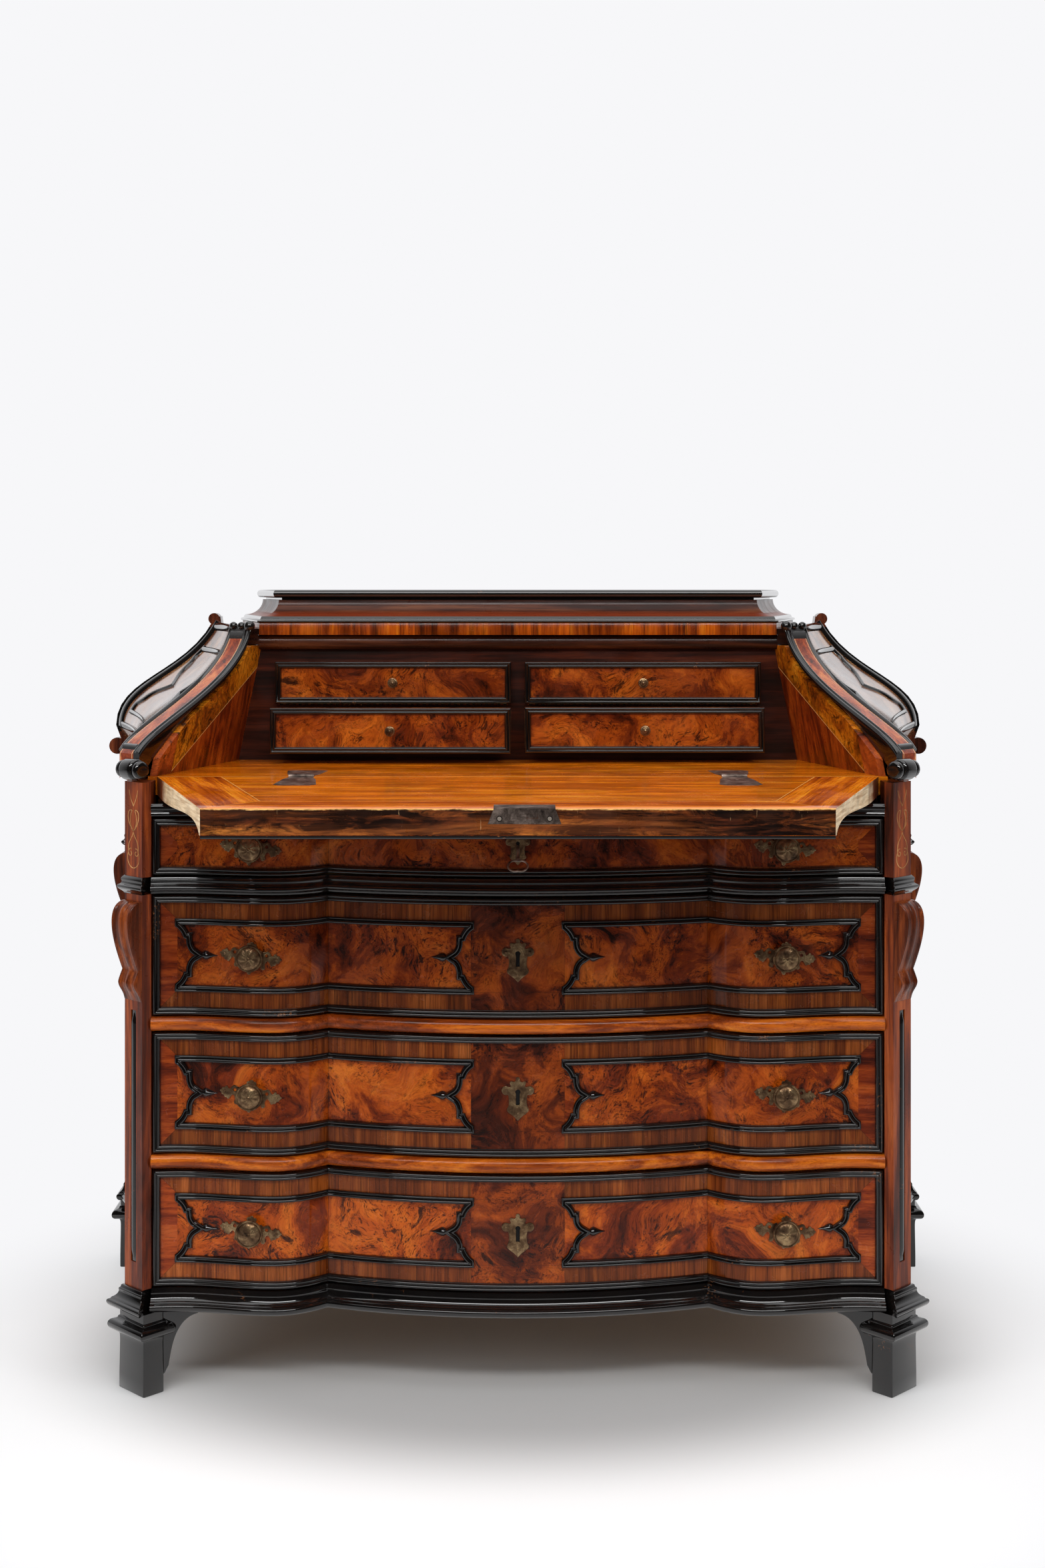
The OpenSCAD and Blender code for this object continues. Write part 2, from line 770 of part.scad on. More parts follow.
// Fall, drawn open and sagging a little: local -Y runs from the hinge to the free edge

module on_fall() {
  translate([0, y_hinge, z_bed])
    rotate([fall_sag, 0, 0])
      children();
}

fall_start = 1.3;
lock_x = 8;
lock_w = 74;
lock_deep = 32;
slot_x = 9;
lock_t = 1.4;
bolt_w = 13;
bolt_t = 5;
bolt_down = 7;

// Outline of the lock's plate on the fall's free edge
module edge_plate(grow) {
  w = lock_w / 2 + grow;
  polygon([[-w, 1], [w, 1], [w, -lock_t], [w + 7, -19 - grow], [-w - 7, -19 - grow], [-w, -lock_t]]);
}

module fall_board() {
  color(light)
    on_fall()
      difference() {
        intersection() {
          rotate([90, 0, 90])
            linear_extrude(fall_rear_w + 20, center = true)
              polygon(concat([[-fall_start, 0], [-fall_len, 0], [-fall_len, -fall_edge]],
                [for (i = [12:-1:1]) [-fall_curve[i][0], -fall_curve[i][1]]],
                [[-fall_start, -fall_heel]]));
          translate([0, 0, -60])
            linear_extrude(80)
              polygon([[-fall_half(0), 0], [fall_half(0), 0], [fall_half(fall_len + 5), -fall_len - 5],
                [-fall_half(fall_len + 5), -fall_len - 5]]);
        }
        for (s = [-1, 1])
          translate([s * hinge_x, 0, -plate_t])
            mirror([0, 1, 0])
              linear_extrude(plate_t + 1)
                strap_outline(0.2);
        for (s = [-1, 1])
          translate([s * hinge_x, 0, 0])
            rotate([0, 90, 0])
              cylinder(h = strap_neck + 2 * gap, r = knuckle_r + 0.4, center = true);
        translate([lock_x + slot_x - bolt_w / 2 - gap, -fall_len - 1, -bolt_down - bolt_t - gap])
          cube([bolt_w + 2 * gap, 34, bolt_t + 2 * gap]);
        translate([lock_x - lock_w / 2 - seat, -fall_len - 1, -lock_t - seat])
          cube([lock_w + 2 * seat, lock_deep + 1 + seat, lock_t + 1]);
        translate([lock_x, -fall_len + lock_t + seat, 0])
          rotate([90, 0, 0])
            linear_extrude(lock_t + 1)
              edge_plate(seat);
      }
}

module fall_lip() {
  w = 2 * fall_half(fall_len);
  color(black)
    on_fall()
      rotate([90, 0, 90])
        linear_extrude(w, center = true)
          polygon([[-fall_len + fall_nose, -fall_edge - seat], [-fall_len + fall_nose - 1, -fall_edge - lip_t],
            [-fall_len + 1, -fall_edge - lip_t], [-fall_len, -fall_edge - lip_t + 1.5], [-fall_len, -fall_edge - seat]]);
}

module fall_lock() {
  color(iron)
    on_fall()
      difference() {
        union() {
          translate([lock_x - lock_w / 2, -fall_len, -lock_t])
            cube([lock_w, lock_deep, lock_t]);
          intersection() {
            translate([lock_x, -fall_len + lock_t, 0])
              rotate([90, 0, 0])
                linear_extrude(lock_t)
                  edge_plate(0);
            translate([-fall_front_w / 2, -fall_len - 1, -50])
              cube([fall_front_w, 10, 50]);
          }
        }
        translate([lock_x + slot_x - bolt_w / 2 - gap, -fall_len - 10, -bolt_down - bolt_t - gap])
          cube([bolt_w + 2 * gap, 20, bolt_t + 2 * gap]);
      }
}

module fall_bolt() {
  color(iron)
    on_fall()
      translate([lock_x + slot_x - bolt_w / 2, -fall_len + 0.2, -bolt_down - bolt_t])
        cube([bolt_w, 26, bolt_t]);
}

module hinge_straps() {
  end_l = (strap_neck - knuckle_l) / 2 - 0.5;
  color(iron)
    on_fall()
      for (s = [-1, 1])
        translate([s * hinge_x, 0, 0]) {
          difference() {
            translate([0, 0, -plate_t])
              mirror([0, 1, 0])
                linear_extrude(plate_t)
                  strap_outline(0);
            rotate([0, 90, 0])
              cylinder(h = strap_neck + 4, r = knuckle_r + 0.3, center = true);
          }
          for (k = [-1, 1])
            difference() {
              union() {
                translate([k * (knuckle_l / 2 + 0.5 + end_l / 2), 0, 0])
                  rotate([0, 90, 0])
                    cylinder(h = end_l, r = knuckle_r, center = true);
                translate([k * (knuckle_l / 2 + 0.5 + end_l / 2) - end_l / 2, -5, -plate_t])
                  cube([end_l, 5, plate_t]);
              }
              rotate([0, 90, 0])
                cylinder(h = strap_neck + 4, r = pin_r + 0.05, center = true);
            }
        }
}

// Upper case

// Depths of the cheek's stations, from the hinge line to the nest
nest_y = y_hinge + nest_back;
cheek_top = z_frieze - 15;
cheek_ys = [for (i = [0:12]) y_hinge + 1 + (nest_back - 1 - seat) * i / 12];

module cheeks() {
  inner = [for (y = cheek_ys) let (z = min(cheek_edge(y), under_hip(y), cheek_top))
    [[-cheek_x(y, z_bed + seat), y, z_bed + seat], [-cheek_x(y, z), y, z]]];
  outer = [for (row = inner) [for (p = row) p - [cheek_t, 0, 0]]];
  color(burr)
    both()
      shell(inner, outer);
}

hip_bead_w = 16;
hip_t = 34;
hip_t_in = 15;

module hip_stiles() {
  ts = [for (i = [0:hip_steps]) i / hip_steps];
  top = [for (t = ts) [hip_at(t, hip_bead_w + seat, 0), hip_at(t, hip_w, 0)]];
  under = [for (t = ts) [hip_at(t, hip_bead_w + seat, -hip_t_in), hip_at(t, hip_w, -hip_t + 6 * t)]];
  color(walnut)
    both()
      difference() {
        shell(under, top);
        at_rolls()
          cylinder(h = 60, r = roll_r + seat, center = true);
      }
}

// The ball at the head of the inner moulding is the largest
ball_r = [8, 6, 6];
cross_t = 0.06;
roll_r = 14.5;

// Places the rolls across the top of the left front post
module at_rolls() {
  on_front_post()
    translate([0, -2, z_bed + 12.5])
      rotate([0, 90, 0])
        children();
}

module hip_trim() {
  ts = [for (i = [0:hip_steps]) i / hip_steps];
  shape = [[2, -4], [4, 3], [8, 4], [11, 1], [hip_bead_w, 2]];
  top = [for (t = ts) [for (s = shape) hip_at(t, s[0], s[1])]];
  under = [for (t = ts) [for (s = shape) let (p = hip_at(t, max(s[0], 5), 0))
    [p[0], p[1], min(p[2] - 6, max(cheek_edge(p[1]) + 2.5, z_side_top + gap))]]];
  color(black)
    both() {
      shell(top, under);
      at_rolls() {
        cylinder(h = 26, r = roll_r, center = true);
        for (s = [-1, 1])
          translate([0, 0, s * 18.5])
            cylinder(h = 11, r = roll_r - 2.5, center = true);
      }
      for (i = [0:2])
        let (p = hip_at(1, 5 + i * (hip_w - 10) / 2, 0))
          translate([p[0], p[1] + 3, p[2] + seat])
            intersection() {
              sphere(r = ball_r[i], $fn = 24);
              translate([-ball_r[i], -ball_r[i], 0])
                cube(2 * ball_r[i]);
            }
      for (t = [cross_t, 1 - cross_t])
        hip_cross(t);
    }
}

// Fillet across the walnut of the hip, that closes it above the rolls and under the balls
module hip_cross(t) {
  base = [for (d = [-0.018, 0.018]) [for (w = [hip_bead_w + 4 * seat, hip_w]) hip_on(t + d, w, 0.3)]];
  top = [for (d = [-0.01, 0.01]) [for (w = [hip_bead_w + 4 * seat, hip_w]) hip_on(t + d, w, 4)]];
  shell(top, base);
}

module side_slopes() {
  ts = [for (i = [0:hip_steps]) i / hip_steps];
  rs = [for (i = [0:slope_steps]) i / slope_steps];
  rows_out = concat(
    [for (k = [0:2]) [for (r = rs) let (p = slope_pt(0, r), x = side_x(p[1]))
      k == 0 ? [-x, p[1], z_side_top + seat]
      : k == 1 ? [-x - 4, p[1], z_side_top + 14]
      : [p[0] + 5, p[1], p[2] - 10]]],
    [for (t = ts) [for (r = rs) slope_pt(t, r)]]);
  rows_in = concat(
    [for (k = [0:2]) [for (r = rs) let (p = slope_pt(0, r), x = side_x(p[1]))
      [-x + (r > 0 ? slope_foot_t : 2), p[1], z_side_top + seat + [0, 5, 10][k]]]],
    [for (t = ts) [for (r = rs) slope_pt(t, r) + (r > 0 ? [slope_t, 0, -4] : [0, 0, -slope_t])]]);
  color(burr)
    both()
      shell(rows_in, rows_out);
}

// A point on the triangles of the side slope, lifted off them
function slope_on(t, r, lift) =
  let (i = min(hip_steps - 1, floor(t * hip_steps)), j = min(slope_steps - 1, floor(r * slope_steps)),
    f = t * hip_steps - i, g = r * slope_steps - j,
    a = slope_pt(i / hip_steps, j / slope_steps), b = slope_pt(i / hip_steps, (j + 1) / slope_steps),
    c = slope_pt((i + 1) / hip_steps, j / slope_steps), d = slope_pt((i + 1) / hip_steps, (j + 1) / slope_steps))
  (g > f ? a + (b - a) * g + (d - b) * f : a + (c - a) * f + (d - c) * g) + [-0.7 * lift, 0, 0.7 * lift];

// Strip that lies on the side slope, at the given steps up it and along it
module slope_strip(ts, rs, h) {
  shell([for (t = ts) [for (r = rs) slope_on(t, r, h)]], [for (t = ts) [for (r = rs) slope_on(t, r, 0.3)]]);
}

slope_all_t = [for (i = [0:hip_steps]) i / hip_steps];
// Outline of the pointed reserve on the side slope: up the slope, and along it from the hip
slope_reserve = [[0.13, 0.86], [1 / 6, 0.86], [0.22, 0.86], [0.25, 0.835], [0.29, 0.81], [1 / 3, 0.8], [0.38, 0.77],
  [5 / 12, 0.73], [0.45, 0.69], [0.48, 0.66]];
slope_reserve_w = 0.035;

module slope_mouldings() {
  half = slope_reserve;
  n = len(half) - 1;
  end = concat(half, [for (i = [n - 1:-1:0]) [0.96 - half[i][0], half[i][1]]]);
  across = concat([0.176], [for (j = [2:slope_steps - 2]) j / slope_steps], [0.859]);
  color(black)
    both() {
      slope_strip(slope_all_t, [0.015, 0.04], 5);
      slope_strip(slope_all_t, [0.95, 0.998], 6);
      for (t = [0, 0.95])
        slope_strip([t, t + 0.05], concat([0.041], [for (j = [1:slope_steps - 1]) j / slope_steps], [0.949]), 5);
      for (t = [0.13, 0.79])
        slope_strip([t, t + 0.04], across, 4);
      for (k = [0, 1])
        let (e = [for (q = end) [q[0], k == 0 ? q[1] : 1 - q[1]]], m = len(e) - 1)
          shell(
            [for (i = [0:m]) [slope_on(e[i][0], e[i][1], 4), slope_on(e[i][0], e[i][1] + slope_reserve_w, 4)]],
            [for (i = [0:m]) [slope_on(e[i][0], e[i][1], 0.6), slope_on(e[i][0], e[i][1] + slope_reserve_w, 0.6)]]);
    }
}

// Rear stile: an ogee board that ends in an ear below and in a small scroll above
rear_stile_w = 40;
ear = [-4, 3, 13];
scroll = [5, 6, 9];

module rear_stiles() {
  n = hip_steps;
  out = [for (i = [0:n]) let (p = rear_pt(i / n)) [p[0] - 6, p[2] + 4]];
  inn = [for (i = [n:-1:0]) let (p = rear_pt(i / n)) [p[0] + rear_stile_w - 6, p[2] - 12]];
  color(walnut)
    both()
      translate([0, y_back, 0])
        rotate([90, 0, 0])
          linear_extrude(rear_stile_t)
            union() {
              polygon(concat([[-rear_half, z_side_top + seat], [-slope_edge_x + 2, z_bed + 14]], out, inn,
                [[-rear_half + rear_stile_w, z_side_top + seat]]));
              translate([-slope_edge_x + ear[0], z_bed + ear[1]])
                circle(r = ear[2]);
              translate([-slope_edge_x + slope_run - scroll[0], z_bed + hip_top + scroll[1]])
                circle(r = scroll[2]);
              polygon([for (p = [[-12, -12], [8, -12], [5, 10], [-3, 8]])
                p + [-slope_edge_x + slope_run, z_bed + hip_top]]);
            }
}

// Back of the upper case, between the rear stiles
module top_back() {
  z_top = z_frieze - top_board_t - seat;
  edge = [for (t = [0:1 / hip_steps:1]) let (p = rear_pt(t)) if (p[2] - 12 < z_top - 1) [p[0] + rear_stile_w - 6 + seat, p[2] - 12]];
  last = edge[len(edge) - 1];
  side = concat([[-rear_half + rear_stile_w + seat, z_side_top + seat]], edge, [[last[0] + 8, z_top]]);
  color(pine)
    translate([0, y_back - gap, 0])
      rotate([90, 0, 0])
        linear_extrude(back_t - 2 * gap)
          polygon(concat([for (p = side) p], [for (i = [len(side) - 1:-1:0]) [-side[i][0], side[i][1]]]));
}

// Half width of the top box at a depth
frieze_y = y_hinge + frieze_back;
frieze_half = -hip_a1[0] - frieze_inset;
top_splay = slope_edge_x - slope_run - top_inset - frieze_half;
function top_half(y) = frieze_half + top_splay * (y - frieze_y) / (y_inner_back - frieze_y);
function top_plan(inset, front) = [
  [-(top_half(frieze_y + front) - inset), frieze_y + front],
  [-(top_half(y_back) - inset), y_back], [top_half(y_back) - inset, y_back],
  [top_half(frieze_y + front) - inset, frieze_y + front]];

top_board_t = 14;
ledge_z = z_bed + hip_top - 5;
ledge_t = 12;

module top_board() {
  y0 = frieze_y + 10;
  z0 = nest_top + 18 + seat;
  z1 = z_frieze - seat;
  half = top_half(frieze_y) - 4;
  ledge = [for (i = [0:slope_steps]) slope_pt(1, i / slope_steps) + [slope_t + 1, 0, 0]];
  color(walnut) {
    rotate([90, 0, 90])
      linear_extrude(2 * half, center = true)
        polygon(concat(
          [for (a = [-90:15:90]) [y0 + 8 - 8 * cos(a), (z0 + z1) / 2 + (z1 - z0) / 2 * sin(a)]],
          [[y_inner_back, z1], [y_inner_back, z1 - top_board_t], [y0 + 24, z1 - top_board_t], [y0 + 24, z0]]));
    both()
      translate([0, 0, ledge_z - ledge_t])
        linear_extrude(ledge_t)
          polygon(concat(
            [[-(top_half(frieze_y) + 0.5), frieze_y + 1]],
            [for (p = ledge) if (p[1] < rear_stile_y - 1) [p[0], p[1]]],
            [[ledge[slope_steps][0], rear_stile_y - 1], [-(top_half(rear_stile_y) + 0.5), rear_stile_y - 1]]));
  }
}

// Solid of the top box between heights, its front and sides set in from the frieze by [inset, height] points
module top_layer(profile) {
  rings([for (p = profile) let (q = top_plan(p[0], p[0])) [for (c = q) [c[0], min(c[1], y_back), p[1]]]]);
}

module frieze() {
  color(light)
    translate([0, 0, z_frieze])
      linear_extrude(frieze_h)
        polygon(top_plan(0, 0));
}

module top_mouldings() {
  color(black) {
    top_layer([[-2, z_necking + seat], [-3, z_necking + 3], [2, z_cove - 2], [4, z_cove - seat]]);
    top_layer([[cove_in - 4, z_cap + seat], [cove_in - 8, z_cap + 2], [cove_in - 9, z_cap + 0.5 * cap_h],
      [cove_in - 8, z_cap + cap_h - 2], [cove_in - 4, z_cap + cap_h]]);
  }
}

module cove() {
  color(walnut)
    top_layer([for (a = [0:15:90]) [5 + (cove_in - 5) * sin(a), z_cove + cove_h * (1 - cos(a))]]);
}

module dentils() {
  inset = cove_in + 2;
  pitch = 9;
  n = floor((top_half(frieze_y) - inset) / pitch);
  color(black) {
    translate([0, 0, z_dentil + seat])
      linear_extrude(dentil_h - seat)
        polygon(top_plan(inset + 3, inset + 3));
    for (i = [-n:n])
      translate([i * pitch - 3, frieze_y + inset, z_dentil + seat])
        cube([6, 4, dentil_h - seat]);
  }
}

// Nest of small drawers: face frame, floor, uprights and the shelf between the rows

// Free space between the nest's case and the back boards
nest_behind = 27;
nest_case_depth = y_inner_back - nest_y - 1 - nest_behind;
nest_z0 = z_bed + nest_lift;
nest_z1 = nest_z0 + nest_low_h + nest_row_gap;
nest_top = nest_z1 + nest_up_h;
bay_low = [nest_z0 + 4, nest_z0 + nest_low_h - 5];
bay_up = [nest_z1 + 5, nest_top - 5];
nest_front_w = cheek_x(nest_y, nest_top) - nest_inset - nest_gap / 2;
bay_in = nest_gap / 2 + 6;
bay_out = nest_gap / 2 + nest_front_w - 6;
nest_face_t = 14;

module nest_case() {
  case_half = bay_out + 12;
  color(walnut)
    difference() {
      union() {
        translate([0, nest_y + nest_face_t, 0])
          rotate([90, 0, 0])
            linear_extrude(nest_face_t)
              polygon([for (q = [[-1, z_bed + seat], [1, z_bed + seat], [1, nest_top + 18], [-1, nest_top + 18]])
                [q[0] * (cheek_x(nest_y, q[1]) + cheek_t - 2), q[1]]]);
        translate([-case_half, nest_y + 1, z_bed + seat])
          cube([2 * case_half, nest_case_depth, nest_top + 6 - z_bed]);
      }
      for (s = [-1, 1], b = [bay_low, bay_up])
        translate([s * (bay_in + bay_out) / 2 - (bay_out - bay_in) / 2, nest_y - 1, b[0]])
          cube([bay_out - bay_in, nest_case_depth - 10, b[1] - b[0]]);
    }
}

// Small drawers

small_x = [-(nest_gap + nest_front_w) / 2, -(nest_gap + nest_front_w) / 2,
  (nest_gap + nest_front_w) / 2, (nest_gap + nest_front_w) / 2];
small_z = [nest_z1, nest_z0, nest_z1, nest_z0];
small_h = [nest_up_h, nest_low_h, nest_up_h, nest_low_h];
small_bay = [bay_up, bay_low, bay_up, bay_low];
small_depth = nest_case_depth - 19;

module at_small(i) {
  translate([small_x[i], nest_y - gap - drawn[i], 0])
    children();
}

module small_drawer(i) {
  w = bay_out - bay_in - 2;
  z0 = small_bay[i][0] + gap;
  h = small_bay[i][1] - small_bay[i][0] - 3;
  color(burr)
    at_small(i) {
      translate([-nest_front_w / 2, -nest_front_t, small_z[i]])
        cube([nest_front_w, nest_front_t, small_h[i]]);
      difference() {
        translate([-w / 2, -1, z0])
          cube([w, small_depth + 1, h]);
        translate([-w / 2 + 7, 6, z0 + 5])
          cube([w - 14, small_depth - 13, h]);
      }
    }
}

module small_trim(i) {
  w = nest_front_w;
  h = small_h[i];
  b = 7;
  color(black)
    at_small(i)
      translate([0, -nest_front_t, small_z[i] + h / 2]) {
        rotate([90, 0, 0])
          for (k = [0, 1])
            let (in = k * 4, out = k * 2)
              translate([0, 0, seat])
                linear_extrude(3 + out)
                  difference() {
                    square([w - 2 * in, h - 2 * in], center = true);
                    square([w - 2 * b, h - 2 * b], center = true);
                  }
        translate([0, -seat, 0])
          rotate([90, 0, 0])
            rotate_extrude()
              polygon([[0, 0], [6, 0], [6, 1], [3, 3], [2.5, 7], [6, 11], [7.5, 14], [6, 17], [3, 18], [0, 18.5]]);
      }
}

// Long drawers and top drawer

front_back_y = y_face + crease_in + 20;
box_wall = 12;
box_floor = 8;
box_rear = y_inner_back - 22;
lock_pocket = [62, 18, 44];
lock_z = z1 + 14;
keyhole_z = z1 + 44;

module keyhole(z, depth) {
  translate([0, face_y(0, 10), z])
    rotate([-90, 0, 0])
      cylinder(h = depth + 10, r = 4.5);
  translate([-key_r - gap, face_y(0, 10), z - 14])
    cube([2 * (key_r + gap), depth + 10, 14]);
}

module drawer_front(n) {
  z = drawer_z[n];
  h = drawer_h[n];
  hole = n == 0 ? keyhole_z : z + h / 2 + 6;
  color(burr)
    difference() {
      front_board(z, z + h, drawer_half, 0, front_back_y);
      keyhole(hole, 24);
      if (n == 0) {
        translate([-lock_pocket[0] / 2, front_back_y - lock_pocket[1], lock_z])
          cube([lock_pocket[0], lock_pocket[1] + 1, lock_pocket[2]]);
        translate([-12, bolt_y - 5.5, lock_z + 10])
          cube([24, 11, h]);
      } else
        translate([-lock_pocket[0] / 2, front_back_y - 8, z + h - lock_pocket[2] - 4 - gap])
          cube([lock_pocket[0], 9, lock_pocket[2] + gap]);
    }
}

module drawer_box(n) {
  z = drawer_z[n] - reveal + gap;
  h = drawer_h[n] - (n == 0 ? 12 : 20);
  color(pine)
    difference() {
      translate([-box_half, front_back_y + seat, z])
        cube([2 * box_half, box_rear - front_back_y, h]);
      translate([-box_half + box_wall, front_back_y - 1, z + box_floor])
        cube([2 * (box_half - box_wall), box_rear - front_back_y - box_wall + 1, h]);
    }
}

// Profile of the double bead that frames a drawer front: [out, distance from the edge]
frame_profile = [[seat, 0], [4, 0], [6, 0.2 * frame_w], [4.5, 0.45 * frame_w], [6, 0.65 * frame_w], [3, frame_w], [seat, frame_w]];

module drawer_frame(z, h) {
  n = len(frame_profile) - 1;
  front_run([for (p = frame_profile) [p[0], z + p[1]]], -drawer_half, drawer_half);
  front_run([for (i = [n:-1:0]) [frame_profile[i][0], z + h - frame_profile[i][1]]], -drawer_half, drawer_half);
  for (s = [-1, 1])
    let (a = min(s * drawer_half, s * (drawer_half - frame_w)), b = max(s * drawer_half, s * (drawer_half - frame_w)))
      front_skin(z + 0.5, z + h - 0.5, a, b, seat, 5);
}

// Half outline of a reserve's end, from its middle to its corner: [inwards, height from the middle]
function reserve_end(half) = [
  [26, 0], [22, 6], [15, 13], [13, 19], [12, 24], [9, 29], [3, half - 14], [0, half - 13], [0, half]];

// Moulding of one pointed reserve between two places along the front
module reserve(x_out, x_in, z, h) {
  half = h / 2;
  w = reserve_w;
  e = reserve_end(half);
  s = x_in > x_out ? 1 : -1;
  lo = min(x_out, x_in);
  hi = max(x_out, x_in);
  intersection() {
    front_skin(z, z + h, lo, hi, seat, 6);
    translate([0, face_y(0, -60), z + half])
      rotate([90, 0, 0])
        linear_extrude(90)
          difference() {
            polygon(concat(
              [for (p = e) [x_out + s * p[0], p[1]]],
              [for (i = [len(e) - 1:-1:0]) [x_in - s * e[i][0], e[i][1]]],
              [for (p = e) [x_in - s * p[0], -p[1]]],
              [for (i = [len(e) - 1:-1:0]) [x_out + s * e[i][0], -e[i][1]]]));
            polygon(concat(
              [for (p = e) [x_out + s * (p[0] + w), min(p[1], half - w)]],
              [for (i = [len(e) - 1:-1:0]) [x_in - s * (e[i][0] + w), min(e[i][1], half - w)]],
              [for (p = e) [x_in - s * (p[0] + w), -min(p[1], half - w)]],
              [for (i = [len(e) - 1:-1:0]) [x_out + s * (e[i][0] + w), -min(e[i][1], half - w)]]));
          }
  }
  for (q = [[x_out, 1], [x_in, -1]])
    intersection() {
      front_skin(z, z + h, min(q[0], q[0] + s * q[1] * 70), max(q[0], q[0] + s * q[1] * 70), seat, 7);
      translate([q[0] + s * q[1] * 34, face_y(0, -60), z + half])
        rotate([90, 0, 0])
          linear_extrude(90)
            polygon([for (p = [[0, -3], [8, -6], [14, -5], [26, 0], [14, 5], [8, 6], [0, 3]]) [s * q[1] * p[0], p[1]]]);
    }
}

module drawer_trim(n) {
  z = drawer_z[n];
  h = drawer_h[n];
  color(black) {
    drawer_frame(z, h);
    if (n > 0)
      for (s = [-1, 1])
        reserve(s * reserve_out, s * reserve_in, z + reserve_margin, h - 2 * reserve_margin);
  }
}

// Pierced plate behind a knob, and the plate round a keyhole, as flat outlines

module plate_outline() {
  difference() {
    union() {
      circle(r = 17);
      for (s = [-1, 1]) {
        translate([s * 24, s * 3])
          circle(r = 9);
        translate([s * 36, s * 1])
          circle(r = 6);
        polygon([[s * 36, 6], [s * 46, 0], [s * 36, -5]]);
        translate([s * 9, s * 17])
          circle(r = 6);
      }
    }
    for (s = [-1, 1])
      translate([s * 27, s * 4])
        circle(r = 3);
  }
}

module escutcheon_outline(k) {
  polygon([for (p = [[0, 30], [6, 26], [10, 28], [14, 24], [13, 18], [20, 14], [20, 8], [14, 4], [12, -6], [15, -14],
    [10, -22], [5, -22], [0, -28], [-5, -22], [-10, -22], [-15, -14], [-12, -6], [-14, 4], [-20, 8], [-20, 14],
    [-13, 18], [-14, 24], [-10, 28], [-6, 26]]) p * k]);
}

module knob() {
  r = knob_d / 2;
  rotate([90, 0, 0])
    rotate_extrude()
      polygon(concat([[0, 0], [9, 0], [9, 1.5], [6, 4], [5, 9], [8, 12], [r - 1, 14], [r, 16], [r - 1, 18]],
        [for (a = [15:25:90]) [(r - 2) * cos(a), 18 + 6 * sin(a)]], [[0, 24]]));
}

module drawer_metal(n) {
  z = drawer_z[n];
  h = drawer_h[n];
  hole = n == 0 ? keyhole_z : z + h / 2 + 6;
  k = n == 0 ? 0.72 : 0.95;
  color(brass)
    difference() {
      union() {
        for (s = [-1, 1]) {
          intersection() {
            front_skin(z, z + h, s * knob_x - 60, s * knob_x + 60, seat, 1.6);
            translate([s * knob_x, face_y(0, -60), z + h / 2])
              rotate([90, 0, 0])
                linear_extrude(90)
                  rotate(-6)
                    plate_outline();
          }
          translate([s * knob_x, face_y(s * knob_x, 1.5), z + h / 2])
            knob();
        }
        intersection() {
          front_skin(z, z + h, -40, 40, seat, 1.6);
          translate([0, face_y(0, -60), hole - (n == 0 ? 2 : 6)])
            rotate([90, 0, 0])
              linear_extrude(90)
                escutcheon_outline(k);
        }
      }
      keyhole(hole, 10);
    }
  if (n > 0)
    color(iron)
      translate([-lock_pocket[0] / 2 + gap, front_back_y - 8 + gap, z + h - lock_pocket[2] - 4])
        cube([lock_pocket[0] - 2 * gap, 8 - gap, lock_pocket[2] - gap]);
}

// Lock of the top drawer, its bolt and its key

bolt_size = [19, 8];

module lock_case() {
  color(iron)
    difference() {
      translate([-lock_pocket[0] / 2 + gap, front_back_y - lock_pocket[1] + gap, lock_z + gap])
        cube([lock_pocket[0] - 2 * gap, lock_pocket[1] - gap, lock_pocket[2] - 2 * gap]);
      translate([-bolt_size[0] / 2 - gap, bolt_y - bolt_size[1] / 2 - gap, lock_z + 22])
        cube([bolt_size[0] + 2 * gap, bolt_size[1] + 2 * gap, lock_pocket[2]]);
    }
}

module lock_bolt() {
  top = z1 + top_drawer_h - 1.5;
  color(iron)
    translate([-bolt_size[0] / 2, bolt_y - bolt_size[1] / 2, lock_z + 22 + gap])
      cube([bolt_size[0], bolt_size[1], top - lock_z - 22 - gap]);
}

key_droop = 40;
key_r = 2.2;
bow_r_out = 10.5;
bow_wire = 2.6;

// Half of the kidney-shaped bow is a ring, set off to each side
module bow(r, h) {
  for (s = [-1, 1])
    translate([s * 3.6, 0, 0])
      cylinder(h = h, r = r, center = true);
}

module key() {
  color(iron)
    translate([0, face_y(0, 0), keyhole_z - 5])
      rotate([key_droop, 0, 0])
        rotate([90, 0, 0]) {
          translate([0, 0, -5])
            cylinder(h = 30, r = key_r);
          translate([0, 0, 20])
            cylinder(h = 3, r = key_r + 1.2);
          translate([0, 0, 24 + bow_r_out - bow_wire / 2])
            rotate([90, 0, 0])
              difference() {
                bow(bow_r_out, bow_wire);
                bow(bow_r_out - bow_wire, 2 * bow_wire);
              }
        }
}

feet();
base_moulding();
bottom_board();
sides();
back_boards();
posts();
post_strips();
consoles();
dust_boards();
cushion_rails();
waist_moulding();
top_rail();
drawer_guides();
writing_bed();
cheeks();
side_slopes();
slope_mouldings();
hip_stiles();
hip_trim();
rear_stiles();
top_back();
top_board();
frieze();
top_mouldings();
cove();
dentils();
nest_case();
hinge_plates();
fall_board();
fall_lip();
fall_lock();
fall_bolt();
hinge_straps();
drawer_front(0);  // drawer_front_1
drawer_front(1);  // drawer_front_2
drawer_front(2);  // drawer_front_3
drawer_front(3);  // drawer_front_4
drawer_box(0);  // drawer_box_1
drawer_box(1);  // drawer_box_2
drawer_box(2);  // drawer_box_3
drawer_box(3);  // drawer_box_4
drawer_trim(0);  // drawer_trim_1
drawer_trim(1);  // drawer_trim_2
drawer_trim(2);  // drawer_trim_3
drawer_trim(3);  // drawer_trim_4
drawer_metal(0);  // drawer_metal_1
